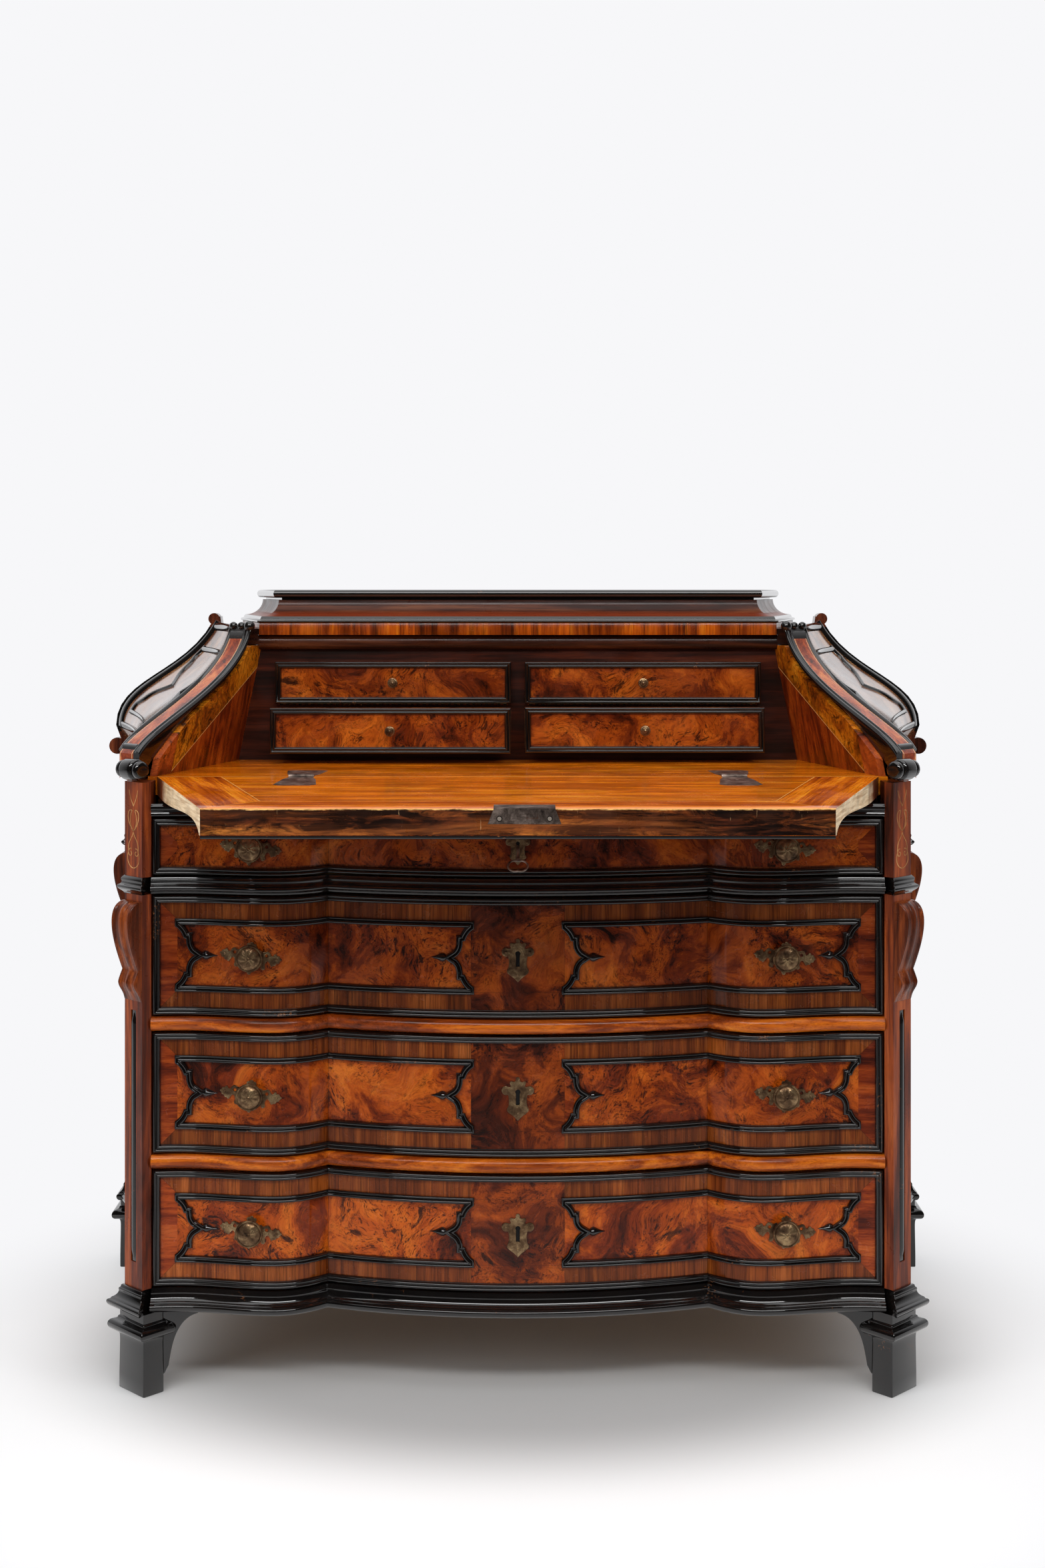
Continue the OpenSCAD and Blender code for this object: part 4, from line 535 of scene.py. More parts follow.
def root_walnut(tree, at, tones, seed):
    """Root walnut: a coarse figure bends a finer one into swirls. Where a few bands of it fall close to
    a whole number run thin dark lines. Knots and flecks, 25, 8 and 3 mm across, are the peaks of three finer
    figures, gathered in clusters. Gives colour and height."""
    moved = node(tree, "Mapping", {"Vector": at, "Location": (seed, 1.3 * seed, 0.7 * seed)})[0]
    coarse = node(tree, "TexNoise", {"Vector": moved, "Scale": 9.0, "Detail": 2.0})[1]
    push = node(tree, "VectorMath", {0: coarse, 1: (0.5, 0.5, 0.5)}, operation="SUBTRACT")[0]
    push = node(tree, "VectorMath", {0: push, 3: 0.14}, operation="SCALE")[0]
    bent = node(tree, "VectorMath", {0: moved, 1: push}, operation="ADD")[0]
    field = node(tree, "TexNoise", {"Vector": bent, "Scale": 12.0, "Detail": 9.0, "Roughness": 0.68,
                                    "Distortion": 0.6})[0]
    tone = node(tree, "ValToRGB", {0: field}, [(0.34, colour(tones[0])), (0.44, colour(tones[1])),
                                                (0.53, colour(tones[2])), (0.68, colour(tones[3]))])[0]
    bands = node(tree, "Math", {0: field, 1: 13.0}, operation="MULTIPLY")[0]
    band = node(tree, "Math", {0: bands, 1: 0.5}, operation="PINGPONG")[0]
    line = node(tree, "ValToRGB", {0: band}, [(0.0, grey(0.16)), (0.04, grey(0.5)), (0.14, grey(1))])[0]
    patch = figure(tree, at, (9, 9, 9), 3, 0.6, 0.5, seed + 3)
    patch = node(tree, "ValToRGB", {0: patch}, [(0.44, grey(0)), (0.56, grey(1))])[0]
    lined = node(tree, "Mix", {0: 0.8, 6: tone, 7: line}, data_type="RGBA", blend_type="MULTIPLY")[2]
    tone = node(tree, "Mix", {0: patch, 6: tone, 7: lined}, data_type="RGBA")[2]
    cluster = figure(tree, at, (11, 11, 11), 4, 0.65, 0.8, seed + 9)
    cluster = node(tree, "ValToRGB", {0: cluster}, [(0.43, grey(0.12)), (0.55, grey(1))])[0]
    for size, low, share in ((40, 0.56, 0.9), (120, 0.55, 0.85), (380, 0.545, 0.8)):
        peak = figure(tree, bent, (size, size, size), 7, 0.72, 0.6, seed + 5)
        peak = node(tree, "ValToRGB", {0: peak}, [(low, grey(0)), (low + 0.05, grey(share))])[0]
        knot = node(tree, "Mix", {0: 1.0, 6: peak, 7: cluster}, data_type="RGBA", blend_type="MULTIPLY")[2]
        tone = node(tree, "Mix", {0: knot, 6: tone, 7: colour("#1a0803")}, data_type="RGBA")[2]
    fine = figure(tree, bent, (240, 240, 240), 5, 0.75, 0.4, seed + 7)
    mottle = node(tree, "ValToRGB", {0: fine}, [(0.36, grey(0.5)), (0.52, grey(1))])[0]
    return node(tree, "Mix", {0: 0.55, 6: tone, 7: mottle}, data_type="RGBA", blend_type="MULTIPLY")[2], fine


def inside(tree, value, low, high):
    """1 where the value lies between the two, 0 elsewhere."""
    over = node(tree, "Math", {0: value, 1: low}, operation="GREATER_THAN")[0]
    under = node(tree, "Math", {0: value, 1: high}, operation="LESS_THAN")[0]
    return node(tree, "Math", {0: over, 1: under}, operation="MULTIPLY")[0]


def leaves(tree, tone, value, width, seed):
    """Veneer laid in strips: along value, in metres, each strip of that width is lighter or darker by chance,
    with a dark joint 0.4 mm wide."""
    count = node(tree, "Math", {0: value, 1: width}, operation="DIVIDE")[0]
    which = node(tree, "Math", {0: count}, operation="FLOOR")[0]
    place = node(tree, "CombineXYZ", {0: which, 1: seed})[0]
    chance = node(tree, "TexWhiteNoise", {"Vector": place}, noise_dimensions="3D")[0]
    level = node(tree, "MapRange", {0: chance, 3: 0.75, 4: 1.15})[0]
    shaded = node(tree, "VectorMath", {0: tone, 3: level}, operation="SCALE")[0]
    along = node(tree, "Math", {0: count}, operation="FRACT")[0]
    joint = inside(tree, along, 0, 0.0004 / width)
    faint = node(tree, "Math", {0: joint, 1: 0.6}, operation="MULTIPLY")[0]
    return node(tree, "Mix", {0: faint, 6: shaded, 7: colour("#1a0b05")}, data_type="RGBA")[2]


root_tones = ("#300d03", "#742806", "#a8480c", "#cc6a1c")
middle_tones = ("#220a04", "#5a2008", "#8c3a0c", "#b05614")
band_tones = ("#2e1006", "#5c240c", "#824014", "#a05826")


def drawer_veneer(name, z0, height, reserves, seed, light=1.0):
    """Veneer of one drawer front, laid out by place: root walnut between the reserve mouldings, out to 450 mm
    either way, darker root walnut in the middle 61 mm either way, upright bands over and under them, and
    level ones in the outer 31 mm, joined on the mitre. Dark seams run where the leaves meet."""
    made, tree, shader, at = finish(name)
    x, _, z = node(tree, "SeparateXYZ", {0: at})[:3]
    wide = node(tree, "Math", {0: x}, operation="ABSOLUTE")[0]
    upright, grain = walnut_tone(tree, at, 2, band_tones, seed)
    hair = figure(tree, at, (420, 420, 8), 4, 0.7, 0.1, seed + 8)
    hair = node(tree, "ValToRGB", {0: hair}, [(0.4, grey(0.4)), (0.5, grey(1))])[0]
    upright = node(tree, "Mix", {0: 0.3, 6: upright, 7: colour(band_tones[2])}, data_type="RGBA")[2]
    upright = node(tree, "Mix", {0: 0.8, 6: upright, 7: hair}, data_type="RGBA", blend_type="MULTIPLY")[2]
    upright = leaves(tree, upright, x, 0.061, seed)
    level, _ = walnut_tone(tree, at, 0, ("#3a1006", "#70260a", "#943c10", "#ac5420"), seed + 2)
    burr, mottle = root_walnut(tree, at, root_tones, seed)
    dark_burr, _ = root_walnut(tree, at, middle_tones, seed + 4)
    inner = 0.030 if reserves else 0.012
    rows = inside(tree, z, (z0 + 1000 * inner) / 1000, (z0 + height - 1000 * inner) / 1000)
    columns = inside(tree, wide, 0.0, 0.4505 if reserves else 0.4700)
    field = node(tree, "Math", {0: rows, 1: columns}, operation="MULTIPLY")[0]
    tone = node(tree, "Mix", {0: field, 6: upright, 7: burr}, data_type="RGBA")[2]
    middle = inside(tree, wide, -1.0, 0.0615 if reserves else 0.0)
    tone = node(tree, "Mix", {0: middle, 6: tone, 7: dark_burr}, data_type="RGBA")[2]
    edge = node(tree, "Math", {0: drawer_half / 1000, 1: wide}, operation="SUBTRACT")[0]
    low = node(tree, "Math", {0: z, 1: z0 / 1000}, operation="SUBTRACT")[0]
    high = node(tree, "Math", {0: (z0 + height) / 1000, 1: z}, operation="SUBTRACT")[0]
    near = node(tree, "Math", {0: low, 1: high}, operation="MINIMUM")[0]
    mitre = node(tree, "Math", {0: near, 1: edge}, operation="SUBTRACT")[0]
    in_mitre, in_end = inside(tree, mitre, 0.0, 1.0), inside(tree, edge, -0.01, 0.0315)
    end = node(tree, "Math", {0: in_mitre, 1: in_end}, operation="MULTIPLY")[0]
    tone = node(tree, "Mix", {0: end, 6: tone, 7: level}, data_type="RGBA")[2]
    from_crease = node(tree, "Math", {0: wide, 1: bow_half / 1000}, operation="SUBTRACT")[0]
    on_mitre, at_end = inside(tree, mitre, -0.0004, 0.0004), inside(tree, edge, 0, 0.0315)
    seams = [inside(tree, from_crease, -0.0004, 0.0004),
             node(tree, "Math", {0: on_mitre, 1: at_end}, operation="MULTIPLY")[0]]
    if reserves:
        on_row, at_middle = inside(tree, near, 0.0325, 0.0331), inside(tree, wide, -1, 0.061)
        seams.append(node(tree, "Math", {0: on_row, 1: at_middle}, operation="MULTIPLY")[0])
        seams.append(inside(tree, wide, 0.0612, 0.0617))
    total = seams[0]
    for seam in seams[1:]:
        total = node(tree, "Math", {0: total, 1: seam}, operation="MAXIMUM")[0]
    faint = node(tree, "Math", {0: total, 1: 0.55}, operation="MULTIPLY")[0]
    tone = node(tree, "Mix", {0: faint, 6: tone, 7: colour("#2a1409")}, data_type="RGBA")[2]
    # Painted shade: the factor light darkens the whole veneer, the upper drawers most, as under the open
    # leaf's shadow
    tone = node(tree, "VectorMath", {0: tone, 3: light}, operation="SCALE")[0]
    height_field = node(tree, "Math", {0: grain, 1: mottle}, operation="ADD")[0]
    polish(tree, shader, at, tone, height_field, 0.2)
    return made


# The slot for the top drawer's bolt, and for each drawer from the top: its body, the foot and height of its
# front, and its painted shade: a factor that darkens the veneer, the upper drawers most, as under the open
# leaf's shadow
bolt_slot = 39
drawers = ["top_drawer", "upper_drawer", "middle_drawer", "bottom_drawer"]
drawer_z, drawer_h, drawer_painted_shade = [683.5, 498.5, 316.5, 140.5], [74, 157, 158, 152], [0.5, 0.56, 0.74, 0.92]


def front_body(z0, height, slot):
    """The front board: rows across the front, each an upright outline from the veneered face to the flat
    back, 60 mm behind the middle of the bow, with the face's edges eased by 0.5 mm. A slot for the lock's
    bolt, 20 mm wide and 9 mm thick, is sunk into the top edge."""
    x = np.union1d(stations(-drawer_half, drawer_half, 4), [-10.02, -10, 10, 10.02])[:, None]
    z1 = z0 + height
    sunk = np.where(np.abs(x) < 10.01, z1 - slot, z1 - 0.02)
    z = np.concatenate([np.full_like(x, level) for level in (z0 + 0.5, z1 - 0.5, z1, z1)] + [sunk, sunk] +
                       [np.full_like(x, level) for level in (z1, z1, z0, z0)], 1)
    y = np.concatenate([face_y(x), face_y(x), face_y(x, -0.5)] +
                       [np.full_like(x, face_front + back) for back in (43.5, 43.5, 52.5, 52.5, 59.7, 59.7)] +
                       [face_y(x, -0.5)], 1)
    return np.stack([x + 0 * z, y, z], -1)


for i, body in enumerate(drawers):
    veneer = drawer_veneer(f"root_walnut_veneer_drawer_{i + 1}", drawer_z[i], drawer_h[i], i > 0,
                           3.1 * i + 1.7, drawer_painted_shade[i])
    board = front_body(drawer_z[i], drawer_h[i], 0.02 if i else bolt_slot)
    piece(f"drawer_front_{i + 1}_veneered", body, [skin(board)], [veneer],
          [f"drawer_front_{i + 1}"], 40)

# Drawer mouldings
# Every front is framed by an ebonised double bead. On the long drawers a narrower one, mitred and
# carved at the ends, encloses two pointed reserves, with a carved leaf bud at each point.


def moulding(path, section):
    """A section of [from the path inwards, out] carried round a closed path of [x, height] points on the
    drawer face. At each corner the section is stretched along the mitre, to 2.4 times at the most."""
    path, section = np.array(path, float), np.array(section, float)
    ahead = np.roll(path, -1, 0) - path
    ahead /= np.linalg.norm(ahead, axis=1)[:, None]
    inward = np.stack([-ahead[:, 1], ahead[:, 0]], -1)
    before = np.roll(inward, 1, 0)
    mitre = (inward + before) / np.maximum(1 + (inward * before).sum(1), 0.34)[:, None]
    x = path[:, None, 0] + section[:, 0] * mitre[:, None, 0]
    z = path[:, None, 1] + section[:, 0] * mitre[:, None, 1]
    return skin(np.stack([x, face_y(x, section[:, 1]), z], -1), 0, True)


frame_section = eased([(0, 0.05), (0, 3.2), (0.8, 5.2), (2.4, 6), (4, 5.2), (4.6, 3.6), (5.4, 5.0),
                       (6.8, 5.8), (8.4, 5), (9.6, 2.6), (10, 0.05)], 1)
reserve_section = eased([(0, 0.05), (0, 2.6), (0.7, 4), (1.8, 4.4), (2.9, 3.6), (3.3, 2.4), (3.9, 4.2),
                         (5.2, 5.8), (6.8, 6), (8.2, 4.6), (9, 2.2), (9.2, 0.05)], 1)
# Ends of a reserve's outline, and how far it keeps from the drawer's upper and lower edge
reserve_low, reserve_high, margin = 57, 454, 30
bud_in = 34.6


def reserve_end(half):
    """Half of a reserve's end, from its corner to its point, as [inwards, height from the middle]: a short
    straight fillet, a convex carved curve, a nib, and a hollow one to the point."""
    return np.concatenate([[(0, half)], curve((0.3, half - 10.5), (6, half - 14), (10.6, half - 20),
                                              (12, half - 26.6), 9), [(15.2, half - 27)],
                           curve((15.2, half - 29), (15.4, 12), (18.5, 4), (26, 0), 9)])


def reserve_path(half):
    """The whole outline, anticlockwise, with points all along its level sides for the serpentine."""
    end = reserve_end(half)
    low, high = reserve_low, reserve_high
    level = stations(low, high, 8)[1:-1]
    left = [*(end * (1, 1) + (low, 0)), *(end * (1, -1) + (low, 0))[-2::-1]]
    right = [*(end * (-1, -1) + (high, 0)), *(end * (-1, 1) + (high, 0))[-2::-1]]
    return np.array([*left, *((x, -half) for x in level), *right, *((x, half) for x in level[::-1])])


def bud(x, z, way):
    """A carved leaf bud on the face: along its 23.5 mm a half ellipse, plump at a third and drawn to a point,
    with a ridge down its middle."""
    along = np.array([0, 0.6, 1.6, 3, 5, 7, 9, 11, 13, 15, 17, 19, 21, 22.6, 23.5])
    half = np.interp(along, [0, 0.6, 3, 5, 7.4, 10, 14, 18, 23.5],
                     [0.8, 1.6, 4.2, 5.6, 6.3, 5.7, 3.4, 1.7, 0.15])
    angle = np.linspace(0, np.pi, 11)
    swell = 6.6 * (half[:, None] / 6.3) ** 0.7 * (0.82 * np.sin(angle) + 0.18 * np.sin(angle) ** 6)
    px = x + way * along[:, None] + 0 * angle
    return skin(np.stack([px, face_y(px, 0.05 + swell), z + half[:, None] * np.cos(angle)], -1))


for i, body in enumerate(drawers):
    z0, height = drawer_z[i], drawer_h[i]
    x = stations(-drawer_half, drawer_half, 6)
    outline = [(p, z0) for p in x] + [(p, z0 + height) for p in x[::-1]]
    skins = [moulding(outline, frame_section)]
    if i:
        middle, half = z0 + height / 2, height / 2 - margin
        skins += both(moulding(reserve_path(half) + (0, middle), reserve_section),
                      bud(reserve_low + bud_in, middle, 1), bud(reserve_high - bud_in, middle, -1))
    piece(f"drawer_trim_{i + 1}_ebonised", body, skins, [black], [f"drawer_trim_{i + 1}"],
          42)

# Brass and iron of the drawers
# Cast and chased brass: round knobs with a swirl of petals, pierced plates with shells at their ends,
# and shield-shaped key plates held by pins. Behind them the locks are forged and filed iron.


def old_brass(name):
    """Cast brass, once lacquered, now brown-green in its hollows and rubbed bright on its edges."""
    made, tree, shader, at = finish(name)
    patina = figure(tree, at, (70, 70, 70), 6, 0.65, 0.3, 4)
    tone = node(tree, "ValToRGB", {0: patina}, [(0.3, colour("#281c15")), (0.48, colour("#70563e")),
                                                 (0.66, colour("#b0936c"))])[0]
    tree.links.new(tone, shader.inputs["Base Color"])
    sheen = node(tree, "MapRange", {0: patina, 1: 0.3, 2: 0.7, 3: 0.46, 4: 0.2})[0]
    tree.links.new(sheen, shader.inputs["Roughness"])
    chased = figure(tree, at, (420, 420, 420), 3, 0.6, 1.5, 6)
    bump = node(tree, "Bump", {"Height": chased, "Strength": 0.6, "Distance": 0.0004})[0]
    tree.links.new(bump, shader.inputs["Normal"])
    shader.inputs["Metallic"].default_value = 0.85
    return made


def forged_iron(name, tones, pins=()):
    """Forged iron, filed flat: rusty clouds in the hollows, worn grey between them. Each pin, given by its
    place in mm, is painted on: a head 5 mm across, bright as a painted highlight, in a dark ring of painted
    shade."""
    made, tree, shader, at = finish(name)
    rust = figure(tree, at, (55, 55, 55), 6, 0.7, 0.4, 2)
    tone = node(tree, "ValToRGB", {0: rust}, [(0.35, colour(tones[0])), (0.5, colour(tones[1])),
                                               (0.66, colour(tones[2]))])[0]
    # Painted pins: a bright disc as a painted highlight on each head, inside a dark ring of painted shade
    for place in pins:
        apart = node(tree, "VectorMath", {0: at, 1: np.array(place) / 1000}, operation="DISTANCE")[1]
        for reach, paint in ((0.0034, "#100c0a"), (0.0025, "#c4b6a8")):
            tone = node(tree, "Mix", {0: inside(tree, apart, -1, reach), 6: tone, 7: colour(paint)},
                        data_type="RGBA")[2]
    tree.links.new(tone, shader.inputs["Base Color"])
    bump = node(tree, "Bump", {"Height": rust, "Strength": 0.5, "Distance": 0.0004})[0]
    tree.links.new(bump, shader.inputs["Normal"])
    shader.inputs["Metallic"].default_value = 0.8
    shader.inputs["Roughness"].default_value = 0.36
    return made


def keyhole_shadow(name):
    """The unlit hollow behind a keyhole: black and dull."""
    made, _, shader, _ = finish(name)
    shader.inputs["Base Color"].default_value = colour("#050404")
    shader.inputs["Roughness"].default_value = 0.9
    return made


brass = old_brass("brass_cast_chased_patinated")
iron = forged_iron("iron_forged_browned", ("#1d1816", "#4a403a", "#8a7868"))
key_iron = forged_iron("iron_key_rubbed_bright", ("#4a4038", "#8c7e72", "#c4b6a8"))
dark = keyhole_shadow("keyhole_shadow")


def turned(profile, centre, count, petals=None):
    """A profile of [radius, out] spun round the line out of the front through centre, at count angles. Petals
    give a relief by ring: their number, twist and height."""
    radius, out = np.array(profile, float).T[:, :, None]
    angle = np.linspace(0, 2 * np.pi, count, endpoint=False)
    if petals is not None:
        number, twist, relief = petals
        out = out + relief[:, None] * np.cos(number * angle + twist * radius / radius.max())
    return skin(np.stack([centre[0] + radius * np.cos(angle), centre[1] - out + 0 * angle,
                          centre[2] + radius * np.sin(angle)], -1))


def cut_plate(lines, thickness, soften):
    """Plate cut to closed outlines of [x, z], the inner ones pierced through, with softened edges: a flat
    filled curve made a mesh, and cut through every 4 mm so that it can bend. Gives points as [x, out, z] and
    triangles."""
    flat = bpy.data.curves.new("plate", "CURVE")
    flat.dimensions, flat.fill_mode = "2D", "BOTH"
    flat.extrude, flat.bevel_depth, flat.bevel_resolution = thickness / 2 - soften, soften, 1
    for line in lines:
        spline = flat.splines.new("POLY")
        spline.points.add(len(line) - 1)
        placed = np.concatenate([line, np.tile((0.0, 1.0), (len(line), 1))], 1)
        spline.points.foreach_set("co", placed.ravel())
        spline.use_cyclic_u = True
    holder = bpy.data.objects.new("plate", flat)
    bpy.context.scene.collection.objects.link(holder)
    mesh = bpy.data.meshes.new_from_object(holder.evaluated_get(bpy.context.evaluated_depsgraph_get()))
    bpy.data.objects.remove(holder)
    work = bmesh.new()
    work.from_mesh(mesh)
    for cut in np.arange(-44, 45, 4):
        bmesh.ops.bisect_plane(work, geom=[*work.verts, *work.edges, *work.faces], plane_co=(cut, 0, 0),
                               plane_no=(1, 0, 0), dist=1e-4)
    bmesh.ops.remove_doubles(work, verts=work.verts, dist=1e-3)
    bmesh.ops.triangulate(work, faces=work.faces)
    work.to_mesh(mesh)
    work.free()
    points, sides = np.zeros(3 * len(mesh.vertices)), np.zeros(3 * len(mesh.polygons), int)
    mesh.vertices.foreach_get("co", points)
    mesh.loops.foreach_get("vertex_index", sides)
    return points.reshape(-1, 3)[:, [0, 2, 1]] + (0, thickness / 2, 0), sides.reshape(-1, 3)


def on_face(plate, x, z, turn, grow=1.0, lift=0.05, mark=0):
    """A plate laid on the serpentine at [x, z], bent to it, turned by so many degrees and scaled."""
    points, sides = plate
    c, s = math.cos(math.radians(turn)) * grow, math.sin(math.radians(turn)) * grow
    px = x + c * points[:, 0] - s * points[:, 2]
    pz = z + s * points[:, 0] + c * points[:, 2]
    return np.stack([px, face_y(px, lift + points[:, 1]), pz], -1), sides, [], mark


def ring_line(x, z, radius):
    """A circle of 16 points."""
    angle = np.linspace(0, 2 * np.pi, 16, endpoint=False)
    return np.stack([x + radius * np.cos(angle), z + radius * np.sin(angle)], -1)


def whole(half):
    """A symmetrical outline from its right half, top to bottom."""
    half = eased(half, 2)
    return np.concatenate([half, (half * (-1, 1))[-2:0:-1]])


plate_half = [(0, 19), (1.6, 19), (2.4, 16.6), (4.6, 17.4), (6.6, 15.6), (5.8, 13), (4.6, 11), (6.4, 7.6),
              (10, 4.6), (11.6, 8.6), (13.4, 9.4), (15.6, 7), (19, 8), (22.4, 9.6), (25.6, 7.6), (27, 4),
              (30, 3.2), (31.4, 6.4), (34, 6.8), (34.8, 4), (38, 4.6), (38.8, 1.8), (42, 0), (38.8, -1.8),
              (38.4, -4.8), (35, -4.6), (34, -8), (31, -7.6), (29, -10), (27, -6.4), (24, -2.4), (20.6, -4.4),
              (19.6, -9), (21, -13.4), (18.4, -15.6), (15.4, -14), (15.2, -10.6), (12.4, -10), (10, -14.6),
              (6, -16), (3.4, -19), (1.6, -23), (0, -23.5)]
shield_half = [(0, 28.4), (1.8, 28), (2.6, 25.8), (1.8, 24.2), (4.6, 21.6), (7, 22.2), (9, 23), (10.6, 21.2),
               (9.6, 19), (8.6, 17.2), (9.8, 15), (12, 15.4), (15.6, 16.8), (19.6, 15.4), (21.2, 11.4),
               (19.8, 7), (15.6, 5.2), (12.4, 6.2), (11.4, 2), (11.2, -5), (12, -10), (14.2, -13.4),
               (13.6, -16), (10.8, -18.6), (5, -22.6), (0, -28)]
# The keyhole: a round of 3.7 mm over a slot
key_slot = np.array([(3.7 * math.cos(a), 3.7 * math.sin(a)) for a in np.radians(np.linspace(-40, 220, 15))] +
                    [(-2.7, -17.5), (2.7, -17.5)])
plate_thick, plate_ease, hole_up = 1.5, 0.35, 9.2
piercings = [ring_line(side * x, z, radius) for x, z, radius in ((13.2, 2.2, 2.0), (21.5, 3.6, 2.6))
             for side in (1, -1)]
back_plate = cut_plate([whole(plate_half), *piercings], plate_thick, plate_ease)
shield = cut_plate([whole(shield_half), key_slot + (0, hole_up)], plate_thick, plate_ease)
hole = cut_plate([key_slot * 1.02 + (0, hole_up)], 0.4, 0.05)
# The knob, as [radius, out]: a waisted neck, a rolled rim, a low dome with petals and a nipple
knob_neck = [(8.6, 1.5), (8.6, 2.6), (6.2, 4), (5, 6.5), (5.2, 9.5), (8, 12), (13, 13.2), (16.8, 13.8)]
knob_rim = [(17.8, 14.6), (18, 15.6), (17.7, 16.8), (17, 17.5), (16, 17.6), (15.3, 17.2)]
knob_dome = [(15.3 * math.cos(a), 17.1 + 5.9 * math.sin(a)) for a in np.linspace(0.12, 1.4, 13)]
knob_tip = [(2.5, 22.7), (2.4, 23.4), (1.9, 23.8), (1.3, 23.9), (1.1, 23.2), (0.9, 22.9), (0.02, 22.9)]
knob_line = np.concatenate([eased(knob_neck, 1), knob_rim, knob_dome, knob_tip])
relief = np.where((knob_line[:, 0] < 15) & (knob_line[:, 0] > 3) & (knob_line[:, 1] > 16), 0.34, 0.0)
pin_line = [(1.8, 0), (1.7, 0.7), (1.2, 1.2), (0.5, 1.45), (0.02, 1.5)]

# Knobs lie 352 mm either way, their plates turned by -6 degrees. The top drawer's key plate is smaller.
knob_x, plate_turn = 352, -6
keyholes, key_plate_size = [727.5, 583.0, 401.5, 222.5], [0.76, 1, 1, 1]
for i, body in enumerate(drawers):
    z, top = drawer_z[i] + drawer_h[i] / 2, drawer_z[i] + drawer_h[i]
    skins = []
    for x in (-knob_x, knob_x):
        skins.append(on_face(back_plate, x, z, plate_turn))
        skins.append(turned(knob_line, (x, face_y(x), z), 72, (9, 5.0, 0.55 * relief)))
        for px, pz in ((-34.5, 3.2), (34.5, -4.0)):
            skins.append(turned(pin_line, (x + px, face_y(x + px, 1.4), z + pz), 12))
    grow = key_plate_size[i]
    low = keyholes[i] - hole_up * grow
    skins.append(on_face(shield, 0, low, 0, grow))
    for px, pz in ((-15.6, 11), (15.6, 11), (0, -19.4)):
        skins.append(turned(pin_line, (px * grow, face_y(px * grow, 1.45), low + pz * grow), 12))
    skins.append(on_face(hole, 0, low, 0, grow, 0.1, 1))
    if i:
        skins.append(box((-30.7, 30.7), (face_front + 52.3, face_front + 60), (top - 48, top - 4.3), 2))
    piece(f"drawer_metal_{i + 1}_brass", body, skins, [brass, dark, iron],
          [f"drawer_metal_{i + 1}"], 38)

repaint(["lock_case", "lock_bolt"], iron)

# Key
# Forged iron key in the top drawer's lock, hanging by its own weight at 40 degrees: a round shank with
# a collar, and a kidney-shaped bow bent from thick wire.

pivot, key_droop = np.array([0, face_front, 722.5]), math.radians(40)
shank_way = np.array([0, -math.cos(key_droop), -math.sin(key_droop)])
key_side = np.array([0, math.sin(key_droop), -math.cos(key_droop)])


def round_bar(points, radius, normal, closed=False):
    """A round bar along points that lie in one plane with the given normal, a ring of 14 points at each of
    them. Radius is one value or one a point."""
    points = np.asarray(points, float)
    ahead = np.roll(points, -1, 0) - np.roll(points, 1, 0) if closed else np.gradient(points, axis=0)
    ahead /= np.linalg.norm(ahead, axis=1)[:, None]
    side = np.cross(ahead, normal)
    angle = np.linspace(0, 2 * np.pi, 14, endpoint=False)[:, None]
    reach = np.broadcast_to(radius, len(points))[:, None, None]
    return skin(points[:, None] + reach * (np.cos(angle) * side[:, None] + np.sin(angle) * normal), 0, closed)


# The bow: two arcs of 9.2 mm radius, their centres 3.6 mm either side of the shank and 33.2 mm along it
arc = np.radians(np.linspace(-112.5, 112.5, 30))[1:]
lobe = np.stack([3.6 + 9.2 * np.cos(arc), 9.2 * np.sin(arc)], -1)
kidney = np.concatenate([lobe, -lobe])
bow = pivot + kidney[:, :1] * (1, 0, 0) + (33.2 + kidney[:, 1:]) * shank_way
# The shank: places along it and the radius there, with a collar round 21 mm
shank = np.array([-5, 19, 19.4, 20, 21, 22.4, 23.2, 24, 25.4])
thick = np.array([2.2, 2.2, 2.9, 3.3, 3.4, 3.3, 2.8, 2.0, 1.6])
piece("key_iron", "key_body", [round_bar(pivot + shank[:, None] * shank_way, thick, key_side),
                                       round_bar(bow, 1.3, key_side, True)], [key_iron], ["key"], 45)

# Writing bed and leaf
# The leaf lies open on its stops and sags by two degrees. Pine core, veneered on both faces and on
# the free edge; its two ends are bare. Inside, walnut laid lengthwise in a field and wide borders.

# The leaf's half width at the hinge shrinks by the taper for each millimetre towards its free edge
y_hinge, z_bed = -108.091, 810
leaf_length, leaf_half, leaf_taper, sag = 299, 483.5, 0.3495, math.radians(2)
front_border, end_border = 0.062, 0.085


def on_leaf(x, s, z):
    """Points at x, at s from the hinge line towards the free edge and at z over the leaf's inner face."""
    x, s, z = np.broadcast_arrays(x, s, z)
    return np.stack([x, y_hinge - s * math.cos(sag) - z * math.sin(sag),
                     z_bed - s * math.sin(sag) + z * math.cos(sag)], -1)


